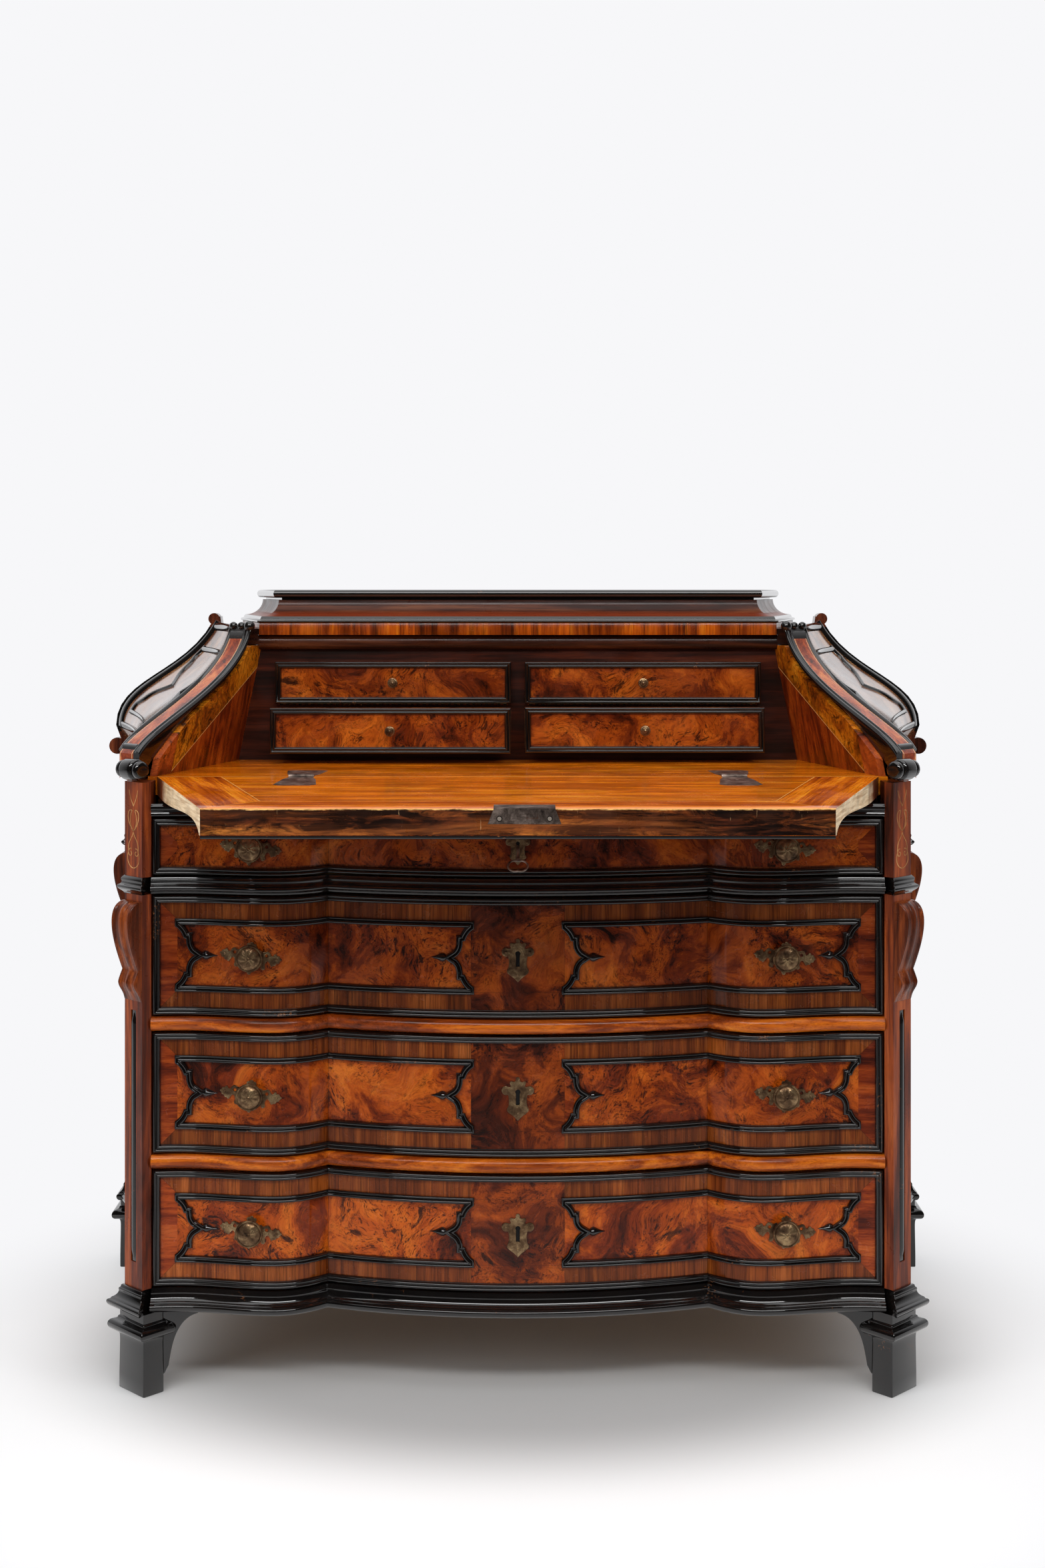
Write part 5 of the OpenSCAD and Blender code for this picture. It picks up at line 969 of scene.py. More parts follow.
def leaf_veneer(name, tones, bordered):
    """Figured walnut polished orange. A field with the grain lengthwise, then borders 62 mm wide in front and
    85 mm at the ends, their grain along the edge, joined on the mitre with a light string between."""
    made, tree, shader, at = finish(name)
    x, y, _ = node(tree, "SeparateXYZ", {0: at})[:3]
    wide = node(tree, "Math", {0: x}, operation="ABSOLUTE")[0]
    field, height = walnut_tone(tree, at, 0, tones, 3.0)
    cloud = figure(tree, at, (5, 12, 12), 4, 0.6, 1.5, 6)
    cloud = node(tree, "ValToRGB", {0: cloud}, [(0.36, grey(0.6)), (0.58, grey(1))])[0]
    field = node(tree, "Mix", {0: 0.25, 6: field, 7: colour(tones[2])}, data_type="RGBA")[2]
    tone = node(tree, "Mix", {0: 0.7, 6: field, 7: cloud}, data_type="RGBA", blend_type="MULTIPLY")[2]
    if bordered:
        run = node(tree, "Math", {0: y_hinge / 1000, 1: y}, operation="SUBTRACT")[0]
        front = node(tree, "Math", {0: leaf_length / 1000, 1: run}, operation="SUBTRACT")[0]
        edge = node(tree, "Math", {0: run, 1: leaf_taper}, operation="MULTIPLY")[0]
        edge = node(tree, "Math", {0: edge, 1: wide}, operation="ADD")[0]
        edge = node(tree, "Math", {0: leaf_half / 1000, 1: edge}, operation="SUBTRACT")[0]
        border, _ = walnut_tone(tree, at, 0, tones, 7.0)
        border = node(tree, "Mix", {0: 0.2, 6: border, 7: colour(tones[1])}, data_type="RGBA")[2]
        turned_at = node(tree, "CombineXYZ", {0: edge, 1: y, 2: 0.3})[0]
        end, _ = walnut_tone(tree, turned_at, 1, tones, 9.0)
        in_front = node(tree, "Math", {0: front, 1: front_border}, operation="SUBTRACT")[0]
        in_end = node(tree, "Math", {0: edge, 1: end_border}, operation="SUBTRACT")[0]
        at_front = node(tree, "Math", {0: in_front, 1: 0.0}, operation="LESS_THAN")[0]
        tone = node(tree, "Mix", {0: at_front, 6: tone, 7: border}, data_type="RGBA")[2]
        mitre = node(tree, "Math", {0: front, 1: end_border / front_border}, operation="MULTIPLY")[0]
        mitre = node(tree, "Math", {0: mitre, 1: edge}, operation="SUBTRACT")[0]
        in_border = node(tree, "Math", {0: in_end, 1: 0.0}, operation="LESS_THAN")[0]
        past_mitre = node(tree, "Math", {0: mitre, 1: 0.0}, operation="GREATER_THAN")[0]
        at_end = node(tree, "Math", {0: in_border, 1: past_mitre}, operation="MULTIPLY")[0]
        tone = node(tree, "Mix", {0: at_end, 6: tone, 7: end}, data_type="RGBA")[2]
        string = node(tree, "Math", {0: in_front, 1: in_end}, operation="MINIMUM")[0]
        light_line = inside(tree, string, 0.0, 0.0011)
        outside = node(tree, "Math", {0: string, 1: 0.0}, operation="LESS_THAN")[0]
        joint = node(tree, "Math", {0: inside(tree, mitre, -0.0007, 0.0007), 1: outside},
                     operation="MULTIPLY")[0]
        faint_joint = node(tree, "Math", {0: joint, 1: 0.7}, operation="MULTIPLY")[0]
        rim = node(tree, "Math", {0: inside(tree, run, -0.01, 0.0042), 1: 0.8}, operation="MULTIPLY")[0]
        for share, paint in ((light_line, "#e0a85a"), (faint_joint, "#e0a85a"), (rim, "#d79a4c")):
            tone = node(tree, "Mix", {0: share, 6: tone, 7: colour(paint)}, data_type="RGBA")[2]
    scuff = figure(tree, at, (30, 160, 160), 6, 0.75, 0.4, 13)
    worn = node(tree, "ValToRGB", {0: scuff}, [(0.66, grey(0)), (0.7, grey(1))])[0]
    worn = node(tree, "Math", {0: worn, 1: 0.4}, operation="MULTIPLY")[0]
    tone = node(tree, "Mix", {0: worn, 6: tone, 7: colour("#e6bb84")}, data_type="RGBA")[2]
    polish(tree, shader, at, tone, height, 0.17, 0.00006)
    return made


def edge_veneer(name):
    """Dark veneer of the free edge: grain lengthwise, nearly black with brown patches, rubbed to bare light
    wood along the upper arris, with upright scratches."""
    made, tree, shader, at = finish(name)
    _, _, z = node(tree, "SeparateXYZ", {0: at})[:3]
    tone, height = walnut_tone(tree, at, 0, ("#0a0403", "#1e0d06", "#43200c", "#7d431c"), 4.0)
    patch = figure(tree, at, (16, 30, 60), 6, 0.7, 0.6, 21)
    patch = node(tree, "ValToRGB", {0: patch}, [(0.5, grey(0)), (0.66, grey(1))])[0]
    warm, _ = walnut_tone(tree, at, 0, ("#3a170a", "#6d3413", "#9a5520", "#c2792f"), 8.0)
    tone = node(tree, "Mix", {0: patch, 6: tone, 7: warm}, data_type="RGBA")[2]
    arris = node(tree, "Math", {0: z, 1: (z_bed - leaf_length * math.sin(sag)) / 1000},
                 operation="SUBTRACT")[0]
    rubbed = figure(tree, at, (60, 200, 200), 5, 0.8, 0.3, 16)
    rubbed = node(tree, "Math", {0: rubbed, 1: 0.006}, operation="MULTIPLY")[0]
    ragged = node(tree, "Math", {0: arris, 1: rubbed}, operation="ADD")[0]
    top = node(tree, "MapRange", {0: ragged, 1: 0.0006, 2: 0.0022})[0]
    tone = node(tree, "Mix", {0: top, 6: tone, 7: colour("#d9a763")}, data_type="RGBA")[2]
    knock = figure(tree, at, (420, 100, 26), 5, 0.8, 0.2, 18)
    knock = node(tree, "ValToRGB", {0: knock}, [(0.66, grey(0)), (0.7, grey(1))])[0]
    knock = node(tree, "Math", {0: knock, 1: 0.5}, operation="MULTIPLY")[0]
    tone = node(tree, "Mix", {0: knock, 6: tone, 7: colour("#c9a070")}, data_type="RGBA")[2]
    polish(tree, shader, at, tone, height, 0.26)
    return made


def bare_end(name):
    """Worn end of the leaf: brown and polished by the hinge, then bare softwood the colour of cream with
    faint growth lines and grime in its low places."""
    made, tree, shader, at = finish(name)
    _, y, _ = node(tree, "SeparateXYZ", {0: at})[:3]
    lines = figure(tree, at, (14, 14, 260), 4, 0.6, 0.5, 3)
    cream = node(tree, "ValToRGB", {0: lines}, [(0.35, colour("#b08c62")), (0.55, colour("#dcc29c")),
                                                (0.75, colour("#ead8ba"))])[0]
    cloud = figure(tree, at, (26, 26, 26), 5, 0.7, 0.8, 5)
    run = node(tree, "Math", {0: y_hinge / 1000, 1: y}, operation="SUBTRACT")[0]
    strayed = node(tree, "Math", {0: cloud, 1: 0.06}, operation="MULTIPLY")[0]
    run = node(tree, "Math", {0: run, 1: strayed}, operation="ADD")[0]
    share = node(tree, "MapRange", {0: run, 1: 0.072, 2: 0.105})[0]
    grime = node(tree, "ValToRGB", {0: cloud}, [(0.36, grey(0.6)), (0.55, grey(1))])[0]
    bare = node(tree, "Mix", {0: 0.7, 6: cream, 7: grime}, data_type="RGBA", blend_type="MULTIPLY")[2]
    tone = node(tree, "Mix", {0: share, 6: colour("#6a3218"), 7: bare}, data_type="RGBA")[2]
    tree.links.new(tone, shader.inputs["Base Color"])
    shader.inputs["Roughness"].default_value = 0.5
    return made


inner_tones = ("#6c2403", "#a84a05", "#d4700c", "#f09c28")
leaf_inside = leaf_veneer("walnut_leaf_inside_polished", inner_tones, True)
leaf_edge = edge_veneer("walnut_leaf_edge_worn")
leaf_end = bare_end("pine_leaf_end_rubbed")
leaf_outside = drawer_veneer("root_walnut_leaf_outside", 300, 1200, False, 8.3)
repaint(["writing_bed"], leaf_veneer("walnut_bed_polished", inner_tones, False))
# Three pins in each leaf of the two butterfly hinges, 290 mm either way, and two in the lock's plate
pins = [(side * x, y_hinge + way * y, z_bed) for x, y in ((274, 76), (306, 76), (290, 34))
        for way in (-1, 1) for side in (-1, 1)] + [(x, -406.8, 787) for x in (-22, 38)]
repaint(["hinge_plates", "hinge_straps", "fall_lock", "fall_bolt"],
        forged_iron("iron_filed_worn_grey", ("#221b18", "#6a5c54", "#b09c90"), pins))

# Section of the leaf: s from the hinge line, d from the inner face, and the ogee of its outer face
leaf_ogee = (0, 24), (110, 38), (262, 0), (293, 33)
s_out, d_out = curve(*leaf_ogee, 48).T
s_ring = np.concatenate([[1.3], np.linspace(30, 270, 9), [298, 298.6, 298.8, 298.8, 298.4], s_out[:0:-1],
                         [1.3]])
d_ring = np.concatenate([[0.15], np.full(9, 0.15), [0.15, 0.4, 1, 32.4, 33], d_out[:0:-1], [24.1]])
share = np.linspace(-1, 1, 61)[:, None]
rows = on_leaf(share * (leaf_half - leaf_taper * s_ring - 0.1), s_ring, -d_ring)
leaf = piece("fall_board_veneered", "fall", [skin(rows)],
             [leaf_inside, leaf_edge, leaf_end, leaf_outside], ["fall_board"], 30)
# Each face gets its veneer by the way it looks: up, to the ends, to the front, or down
way = np.array([face.normal[:] for face in leaf.data.polygons])
kind = np.where(way[:, 2] > 0.7, 0, np.where(np.abs(way[:, 0]) > 0.6, 2, np.where(way[:, 1] < -0.9, 1, 3)))
leaf.data.polygons.foreach_set("material_index", kind)

# An ebonised bead is planted under the leaf's free edge, all along it
bead = eased([(294, 33.05), (293.6, 35.4), (295, 37.3), (297.4, 37.4), (299, 36), (299, 33.05)], 1)
front = leaf_half - leaf_taper * leaf_length
piece("fall_lip_ebonised", "fall",
      [skin(on_leaf(np.linspace(-front, front, 40)[:, None], bead[:, 0], -bead[:, 1]))], [black],
      ["fall_lip"], 40)

# Cheeks
# The boards at both ends of the writing bed. The leaf shuts against them, and above its line the
# veneer is golden flecked root walnut; below, plain reddish walnut. A light joint runs between.

# The stile over the cheek: its foot in plan, its way back and inwards, the length of that way and its rise
hip_foot, hip_way, hip_run, hip_top = (-499, -145.09), (114.4, 256.0), 280.4, 198
shut_tilt = math.radians(35)


def hip(t, w, lift):
    """Points on the stile: at t up its ogee, a cubic curve of run and height, and w across it at 45 degrees
    to the front, from the inner edge outwards."""
    t, w, lift = np.broadcast_arrays(t, w, lift)
    a, b = (0, 32), (40, 72)
    c, d = (hip_run - 21, 112), (hip_run, hip_top)
    run, up = (a[k] * (1 - t) ** 3 + 3 * b[k] * t * (1 - t) ** 2 + 3 * c[k] * t ** 2 * (1 - t) + d[k] * t ** 3
               for k in (0, 1))
    return np.stack([hip_foot[0] + hip_way[0] * run / hip_run - w * math.sqrt(0.5),
                     hip_foot[1] + hip_way[1] * run / hip_run + w * math.sqrt(0.5), z_bed + up + lift], -1)


def cheek_x(y, z):
    """Half width between the cheeks: the plane of the shut leaf's ends, 1 mm clear of them."""
    return leaf_half + 1 - leaf_taper * ((y - y_hinge) * math.cos(shut_tilt) +
                                         (z - z_bed) * math.sin(shut_tilt))


def cheek_veneer(name):
    """Golden root walnut with flecks over the line of the shut leaf, plain walnut with clouds under it,
    redder root walnut in front of y = -65 mm, and a light joint along the line."""
    made, tree, shader, at = finish(name)
    _, y, z = node(tree, "SeparateXYZ", {0: at})[:3]
    plain, height = walnut_tone(tree, at, 2, ("#300c03", "#602008", "#8c380c", "#ac5418"), 6.0)
    cloud = figure(tree, at, (9, 9, 9), 4, 0.6, 1.2, 4)
    cloud = node(tree, "ValToRGB", {0: cloud}, [(0.36, grey(0.55)), (0.6, grey(1))])[0]
    plain = node(tree, "Mix", {0: 0.8, 6: plain, 7: cloud}, data_type="RGBA", blend_type="MULTIPLY")[2]
    golden, _ = root_walnut(tree, at, ("#4a1e04", "#8c4408", "#b8680f", "#d89026"), 14.0)
    fleck = figure(tree, at, (60, 300, 110), 4, 0.7, 0.6, 9)
    fleck = node(tree, "ValToRGB", {0: fleck}, [(0.38, grey(0.25)), (0.5, grey(1))])[0]
    golden = node(tree, "Mix", {0: 0.9, 6: golden, 7: fleck}, data_type="RGBA", blend_type="MULTIPLY")[2]
    fore, _ = root_walnut(tree, at, ("#3a120a", "#7a2f12", "#a84d1c", "#c46c2a"), 19.0)
    line = node(tree, "Math", {0: y, 1: 0.070}, operation="ADD")[0]
    line = node(tree, "Math", {0: line, 1: 0.614}, operation="MULTIPLY")[0]
    over = node(tree, "Math", {0: z, 1: z_bed / 1000}, operation="SUBTRACT")[0]
    over = node(tree, "Math", {0: over, 1: line}, operation="SUBTRACT")[0]
    before = node(tree, "Math", {0: -0.065, 1: y}, operation="SUBTRACT")[0]
    above, ahead = (node(tree, "Math", {0: one, 1: 0.0}, operation="GREATER_THAN")[0]
                    for one in (over, before))
    tone = node(tree, "Mix", {0: above, 6: plain, 7: golden}, data_type="RGBA")[2]
    tone = node(tree, "Mix", {0: ahead, 6: tone, 7: fore}, data_type="RGBA")[2]
    behind = node(tree, "Math", {0: before, 1: 0.0}, operation="LESS_THAN")[0]
    joint = node(tree, "Math", {0: inside(tree, over, -0.0009, 0.0006), 1: behind}, operation="MULTIPLY")[0]
    joint = node(tree, "Math", {0: joint, 1: 0.75}, operation="MULTIPLY")[0]
    seam = node(tree, "Math", {0: inside(tree, before, -0.0005, 0.0003), 1: 0.7}, operation="MULTIPLY")[0]
    tone = node(tree, "Mix", {0: joint, 6: tone, 7: colour("#c9995c")}, data_type="RGBA")[2]
    tone = node(tree, "Mix", {0: seam, 6: tone, 7: colour("#1c0b05")}, data_type="RGBA")[2]
    polish(tree, shader, at, tone, height, 0.28)
    return made


# The shut leaf's outer face and the ogee of the stile, as lines of depth and height, limit the cheek
s_shut, d_shut = curve(*leaf_ogee, 13).T
shut_y = y_hinge + s_shut * math.cos(shut_tilt) - d_shut * math.sin(shut_tilt)
shut_z = z_bed + s_shut * math.sin(shut_tilt) + d_shut * math.cos(shut_tilt)
ridge_line = hip(np.linspace(0, 1, 13), 0, 0)
cheek_back, cheek_top = 151.86, 979
y = np.linspace(y_hinge + 1, cheek_back, 60)
under = np.interp(y, shut_y, shut_z) - 8
under = np.minimum(under, np.interp(y - 12, ridge_line[:, 1], ridge_line[:, 2]) - 8)
under = np.minimum(under, cheek_top)
low = np.full(len(y), z_bed + 0.05)
inner = np.stack([np.stack([-cheek_x(y, z), y, z], -1) for z in (low, (low + under) / 2, under)], 1)
piece("cheeks_veneered", "carcase",
      both(skin(np.concatenate([inner, inner[:, ::-1] - (9, 0, 0)], 1))),
      [cheek_veneer("root_walnut_cheek_polished")], ["cheeks"])

# Stiles over the cheeks
# Solid ogee stiles, set diagonally like the front posts. Walnut between two light strings outside; a
# black hollow moulding inside; rolls at the foot, a fillet across each end, and three turned balls on top.


def stile_walnut(name):
    """Reddish walnut lengthwise on the stile, with a light string 1.1 mm wide near both of its edges. The
    distance across the stile is 0.913 |x| + 0.408 y - 0.3964 m."""
    made, tree, shader, at = finish(name)
    x, y, z = node(tree, "SeparateXYZ", {0: at})[:3]
    wide = node(tree, "Math", {0: x}, operation="ABSOLUTE")[0]
    plan = node(tree, "CombineXYZ", {0: wide, 1: y})[0]
    across = node(tree, "VectorMath", {0: plan, 1: (0.913, 0.408, 0)}, operation="DOT_PRODUCT")[1]
    across = node(tree, "Math", {0: across, 1: 0.3964}, operation="SUBTRACT")[0]
    along = node(tree, "VectorMath", {0: plan, 1: (-0.408, 0.913, 0)}, operation="DOT_PRODUCT")[1]
    turned_at = node(tree, "CombineXYZ", {0: across, 1: along, 2: z})[0]
    tone, height = walnut_tone(tree, turned_at, 1, ("#42140a", "#7c3014", "#a44c22", "#be6c38"), 12.0)
    for place in (0.0176, 0.0424):
        string = node(tree, "Math", {0: inside(tree, across, place, place + 0.0011), 1: 0.8},
                      operation="MULTIPLY")[0]
        tone = node(tree, "Mix", {0: string, 6: tone, 7: colour("#d2a878")}, data_type="RGBA")[2]
    polish(tree, shader, at, tone, height, 0.2)
    return made


t = np.linspace(0, 1, 61)[:, None]
stile_top = hip(t, np.array([16.05, 16.4, 24, 32, 40, 47, 47.8, 48]),
                np.array([-0.5, 0, 0, 0, 0, 0, -0.3, -1]))
stile_under = hip(t, np.array([16.05, 48]), np.concatenate([-15 + 0 * t, -34 + 6 * t], 1))
piece("hip_stiles_walnut", "carcase", both(between(stile_top, stile_under)),
      [stile_walnut("walnut_stile_polished")], ["hip_stiles"], 40)

moulded = eased([(2, -4), (2.2, -1.5), (3.6, 2.6), (5.6, 3.8), (7.4, 3.6), (8.4, 1.4), (10.6, 0.8),
                 (12.8, 1.6), (13.2, 3.6), (14.8, 4), (15.8, 3), (16, 0.6)], 1)
trim_top = hip(t, moulded[:, 0], moulded[:, 1])
trim_under = hip(t, np.array([5, 8, 12, 16]), 0)
ledge = np.maximum(np.interp(trim_under[..., 1], shut_y, shut_z) - 5.5, z_side_top + 0.3)
trim_under[..., 2] = np.minimum(trim_under[..., 2] - 6, ledge)
roll_out, roll_up = -2, z_bed + 12.5


def spun(profile):
    """A profile of [radius, along] spun round the level axis across the front post, 12.5 mm over the bed."""
    radius, along = np.array(profile, float).T[:, :, None]
    angle = np.linspace(0, 2 * np.pi, 40, endpoint=False)
    return skin(on_front_post(np.stack([along + 0 * angle, roll_out + radius * np.cos(angle),
                                        roll_up + radius * np.sin(angle)], -1)))


def roll(radius, low, high, ease):
    """A roll with rounded ends and a flat band, as [radius, along]."""
    turn = np.linspace(0, np.pi / 2, 7)
    near = [(radius - ease + ease * math.sin(a), low + ease * (1 - math.cos(a))) for a in turn]
    far = [(radius - ease + ease * math.cos(a), high - ease * (1 - math.sin(a))) for a in turn]
    return [(0.05, low), (radius - ease - 3, low), *near, *far, (radius - ease - 3, high), (0.05, high)]


def cross_fillet(t0):
    """A rounded fillet laid across the walnut of the stile, 4 mm high and 0.036 of its length wide."""
    lift = np.array([0, 1.8, 3.2, 3.9, 4, 3.9, 3.2, 1.8, 0])
    step = np.array([-0.018, -0.0175, -0.014, -0.008, 0, 0.008, 0.014, 0.0175, 0.018])
    w = np.linspace(16.3, 47.9, 6)[:, None]
    return between(hip(t0 + step, w, lift + 0.1), hip(t0 + step[[0, -1]], w, np.full(2, -0.6)))


def ball(w, radius):
    """A turned ball at the stile's top end, w across it, its middle 1 mm under the face: rings of points from
    pole to pole."""
    polar = np.linspace(0.02, np.pi - 0.02, 18)[:, None]
    angle = np.linspace(0, 2 * np.pi, 28, endpoint=False)
    x, y, z = np.sin(polar) * np.cos(angle), np.sin(polar) * np.sin(angle), np.cos(polar) + 0 * angle
    return skin(hip(1, w, 0.05) + (-1.2, 1, -1) + radius * np.stack([x, y, z], -1))


# The black head of the stile, on which the balls stand, lies 0.7 mm over the walnut
head_t, head_w = np.linspace(0.957, 1, 5), np.linspace(16.3, 47.9, 5)[:, None]
head = between(hip(head_t, head_w, 0.7), hip(head_t[[0, -1]], head_w, np.full(2, -3)))
rolls = [spun(roll(*sizes, 4.5)) for sizes in ((14.5, -13, 13), (12, 13, 24), (12, -24, -13))]
balls = [ball(w, radius) for w, radius in ((5, 8), (24, 6), (43, 6))]
piece("hip_trim_ebonised", "carcase",
      both(between(trim_top, trim_under), *rolls, cross_fillet(0.06), cross_fillet(0.94), head, *balls),
      [black], ["hip_trim"], 40)

# Side slopes
# Hollow ogee boards between the stiles and the rear stiles, veneered in root walnut with a high
# polish. A black bead runs along the rear edge, a narrow one by the stile, and bars close both ends.


def slope(t, r, lift=0.0):
    """Points on the side slope: t up the ogee, r along it from the stile to the rear stile. Straight lines
    join the two ogees, drawn inwards by 104 r (1 - r) (1 - 0.6 t)."""
    t, r, lift = np.broadcast_arrays(t, r, lift)
    fore = hip(t, 48.05, 0.0)
    run = 327 * t ** 2 * (1 - t) + 154 * t ** 3
    up = 32 * (1 - t) ** 3 + 321 * t * (1 - t) ** 2 + 339 * t ** 2 * (1 - t) + 198 * t ** 3
    aft = np.stack([run - 630, 382.6 + 0 * t, z_bed + up], -1)
    made = fore * (1 - r)[..., None] + aft * r[..., None]
    made[..., 0] += 104 * r * (1 - r) * (1 - 0.6 * t) - 0.7 * lift
    made[..., 2] += 0.7 * lift
    return made


def slope_veneer(name):
    """Root walnut under a thick glassy polish; its colour is greyed and paled as a painted reflection of the
    room, which the polish also reflects.
    """
    made, tree, shader, at = finish(name)
    # Painted reflection: greyed, pale tones stand in for the room mirrored in the polish
    tone, height = root_walnut(tree, at, ("#3a1c12", "#6b3a20", "#96603a", "#b98a5c"), 24.0)
    polish(tree, shader, at, tone, height, 0.14)
    shader.inputs["Coat Weight"].default_value = 0.9
    return made


# The board rests on the side and thins to 2 mm where it meets the stile
t, r = np.linspace(0, 1, 49)[:, None], np.linspace(0, 1, 36)
foot = slope(0, r)
width = side_x(foot[:, 1])
outer = np.concatenate([[np.stack([-width, foot[:, 1], 0 * width + z_side_top + 0.05], -1),
                         np.stack([-width - 4, foot[:, 1], 0 * width + 820], -1), foot + (5, 0, -10)],
                        slope(t, r)])
full = np.clip(r / 0.14, 0, 1)
inner = np.concatenate([[np.stack([-width + 2 + 10 * full, foot[:, 1], 0 * width + z], -1)
                         for z in (z_side_top + 0.05, 811, 816)],
                        slope(t, r) + np.stack([20 * full, 0 * r, -20 + 16 * full], -1)])
piece("side_slopes_veneered", "carcase", both(between(outer, inner)),
      [slope_veneer("root_walnut_slope_polished")], ["side_slopes"], 40)


def slope_bead(first, last, high):
    """A rounded bead on the slope between two lines of [t, r] points: over its width it rises from 0.3 mm by
    the sine of 180 degrees, to the power 0.6."""
    first, last = np.array(first, float)[:, None], np.array(last, float)[:, None]
    share = np.linspace(0, 1, 9)
    where = first * (1 - share[:, None]) + last * share[:, None]
    lift = 0.3 + (high - 0.3) * np.sin(np.pi * share) ** 0.6
    under = where[:, [0, -1]]
    return between(slope(where[..., 0], where[..., 1], lift), slope(under[..., 0], under[..., 1], -0.6))


def lengthwise_bead(t, r0, r1, high):
    """A bead up the slope, from r0 to r1 wide."""
    return slope_bead([(v, r0) for v in t], [(v, r1) for v in t], high)


def level_bead(t0, t1, r, high):
    """A bead along the slope, from t0 to t1 high."""
    return slope_bead([(t0, v) for v in r], [(t1, v) for v in r], high)


beads = [lengthwise_bead(t[:, 0], r0, r1, high) for r0, r1, high in ((0.015, 0.04, 5), (0.95, 0.998, 6))]
beads += [level_bead(t0, t0 + 0.05, np.linspace(0.041, 0.949, 30), 5) for t0 in (0, 0.95)]
beads += [level_bead(t0, t0 + 0.04, np.linspace(0.165, 0.875, 26), 4) for t0 in (0.13, 0.79)]
# Ogee brackets close the inner frame: half a one is mirrored up the slope, and the whole one along it
half_end = eased([(0.13, 0.86), (0.17, 0.86), (0.22, 0.86), (0.25, 0.835), (0.29, 0.81), (0.33, 0.8),
                  (0.38, 0.77), (0.417, 0.73), (0.45, 0.69), (0.48, 0.655)], 1)
end = np.concatenate([half_end, (half_end * (-1, 1) + (0.96, 0))[-2::-1]])
bead_wide = 0.035
for line in (end, end * (1, -1) + (0, 1 - bead_wide)):
    beads.append(slope_bead(line, line + (0, bead_wide), 4))
piece("slope_mouldings_ebonised", "carcase", both(*beads), [black], ["slope_mouldings"], 40)

# Rear stiles
# Ogee boards at the back corners, sawn to an ear below and a scroll above. These two are dark walnut,
# and the curved edge between them is ebonised.


def rear_stile_wood(name):
    """Dark walnut, stained black from 836 to 1001 mm over the floor, where the ogee edge runs."""
    made, tree, shader, at = finish(name)
    z = node(tree, "SeparateXYZ", {0: at})[2]
    tone, height = walnut_tone(tree, at, 2, ("#1c0b06", "#3e1a0e", "#5e2c18", "#784026"), 16.0)
    tone = node(tree, "Mix", {0: inside(tree, z, 0.836, 1.001), 6: tone, 7: colour("#0a0807")},
                data_type="RGBA")[2]
    polish(tree, shader, at, tone, height, 0.18)
    shader.inputs["Coat Weight"].default_value = 0.6
    return made


repaint(["rear_stiles"], rear_stile_wood("walnut_rear_stile_edge_ebonised"))

# Top box
# A shallow box with slanting ends stands on the ledges of the stiles. Under it is a rounded rail,
# then a crossbanded frieze, a black ogee, a walnut cove, small dentils and a black bullnose cap.

frieze_y, frieze_half, rear_half, frieze_deep = 129.909, 377.1, 436, 265
z_frieze, z_necking, z_cove, z_dentil, z_cap, z_top = 994, 1012, 1021, 1045, 1048, 1060


def top_half(y):
    """Half width of the frieze at a depth: it spreads evenly towards the back."""
    return frieze_half + (rear_half - frieze_half) * (y - frieze_y) / frieze_deep


def top_rows(profile):
    """Rows round the top box: at each [inset, height] its plan, drawn in from the frieze's front and ends."""
    inset, z = np.array(profile, float).T
    front, back = frieze_y + inset, np.full(len(inset), y_back)
    near, far = top_half(front) - inset, top_half(back) - inset
    x = np.stack([-near, -far, far, near], 1)
    return np.stack([x, np.stack([front, back, back, front], 1), np.repeat(z[:, None], 4, 1)], -1)


def crossband(name):
    """Bright crossbanding: upright grain with broad dark stripes, in leaves 75 mm wide of unequal tone."""
    made, tree, shader, at = finish(name)
    x = node(tree, "SeparateXYZ", {0: at})[0]
    tone, height = walnut_tone(tree, at, 2, ("#280d02", "#6a2803", "#944205", "#b0620e"), 6.0)
    stripe = figure(tree, at, (34, 34, 1.5), 6, 0.75, 0.2, 17)
    stripe = node(tree, "ValToRGB", {0: stripe}, [(0.38, grey(0.14)), (0.44, grey(0.6)), (0.5, grey(1))])[0]
    tone = node(tree, "Mix", {0: 0.9, 6: tone, 7: stripe}, data_type="RGBA", blend_type="MULTIPLY")[2]
    tone = leaves(tree, tone, x, 0.075, 4.0)
    polish(tree, shader, at, tone, height, 0.2)
    return made


def cove_wood(name):
    """Dark walnut lengthwise, almost black in its hollow, with a painted light along the cove's foot: a
    redder band that fades upwards, where the hollow turns forward to the light.
    """
    made, tree, shader, at = finish(name)
    z = node(tree, "SeparateXYZ", {0: at})[2]
    tone, height = walnut_tone(tree, at, 0, ("#180a05", "#331409", "#4c2412", "#64371d"), 11.0)
    # Painted light: redder at the cove's foot, fading out 8 mm up
    foot = node(tree, "MapRange", {0: z, 1: (z_cove + 2) / 1000, 2: (z_cove + 8) / 1000, 3: 0.75, 4: 0.0})[0]
    tone = node(tree, "Mix", {0: foot, 6: tone, 7: colour("#7a3018")}, data_type="RGBA")[2]
    polish(tree, shader, at, tone, height, 0.3)
    return made


# Painted shade: the rail and shelves under the frieze get near-black walnut tones for the shade in that
# recess
painted_shade_walnut = straight_walnut("walnut_dark_lengthwise_polished", 0,
                              ("#0f0503", "#200d07", "#38180a", "#522a14"), 14.0, 0.28)
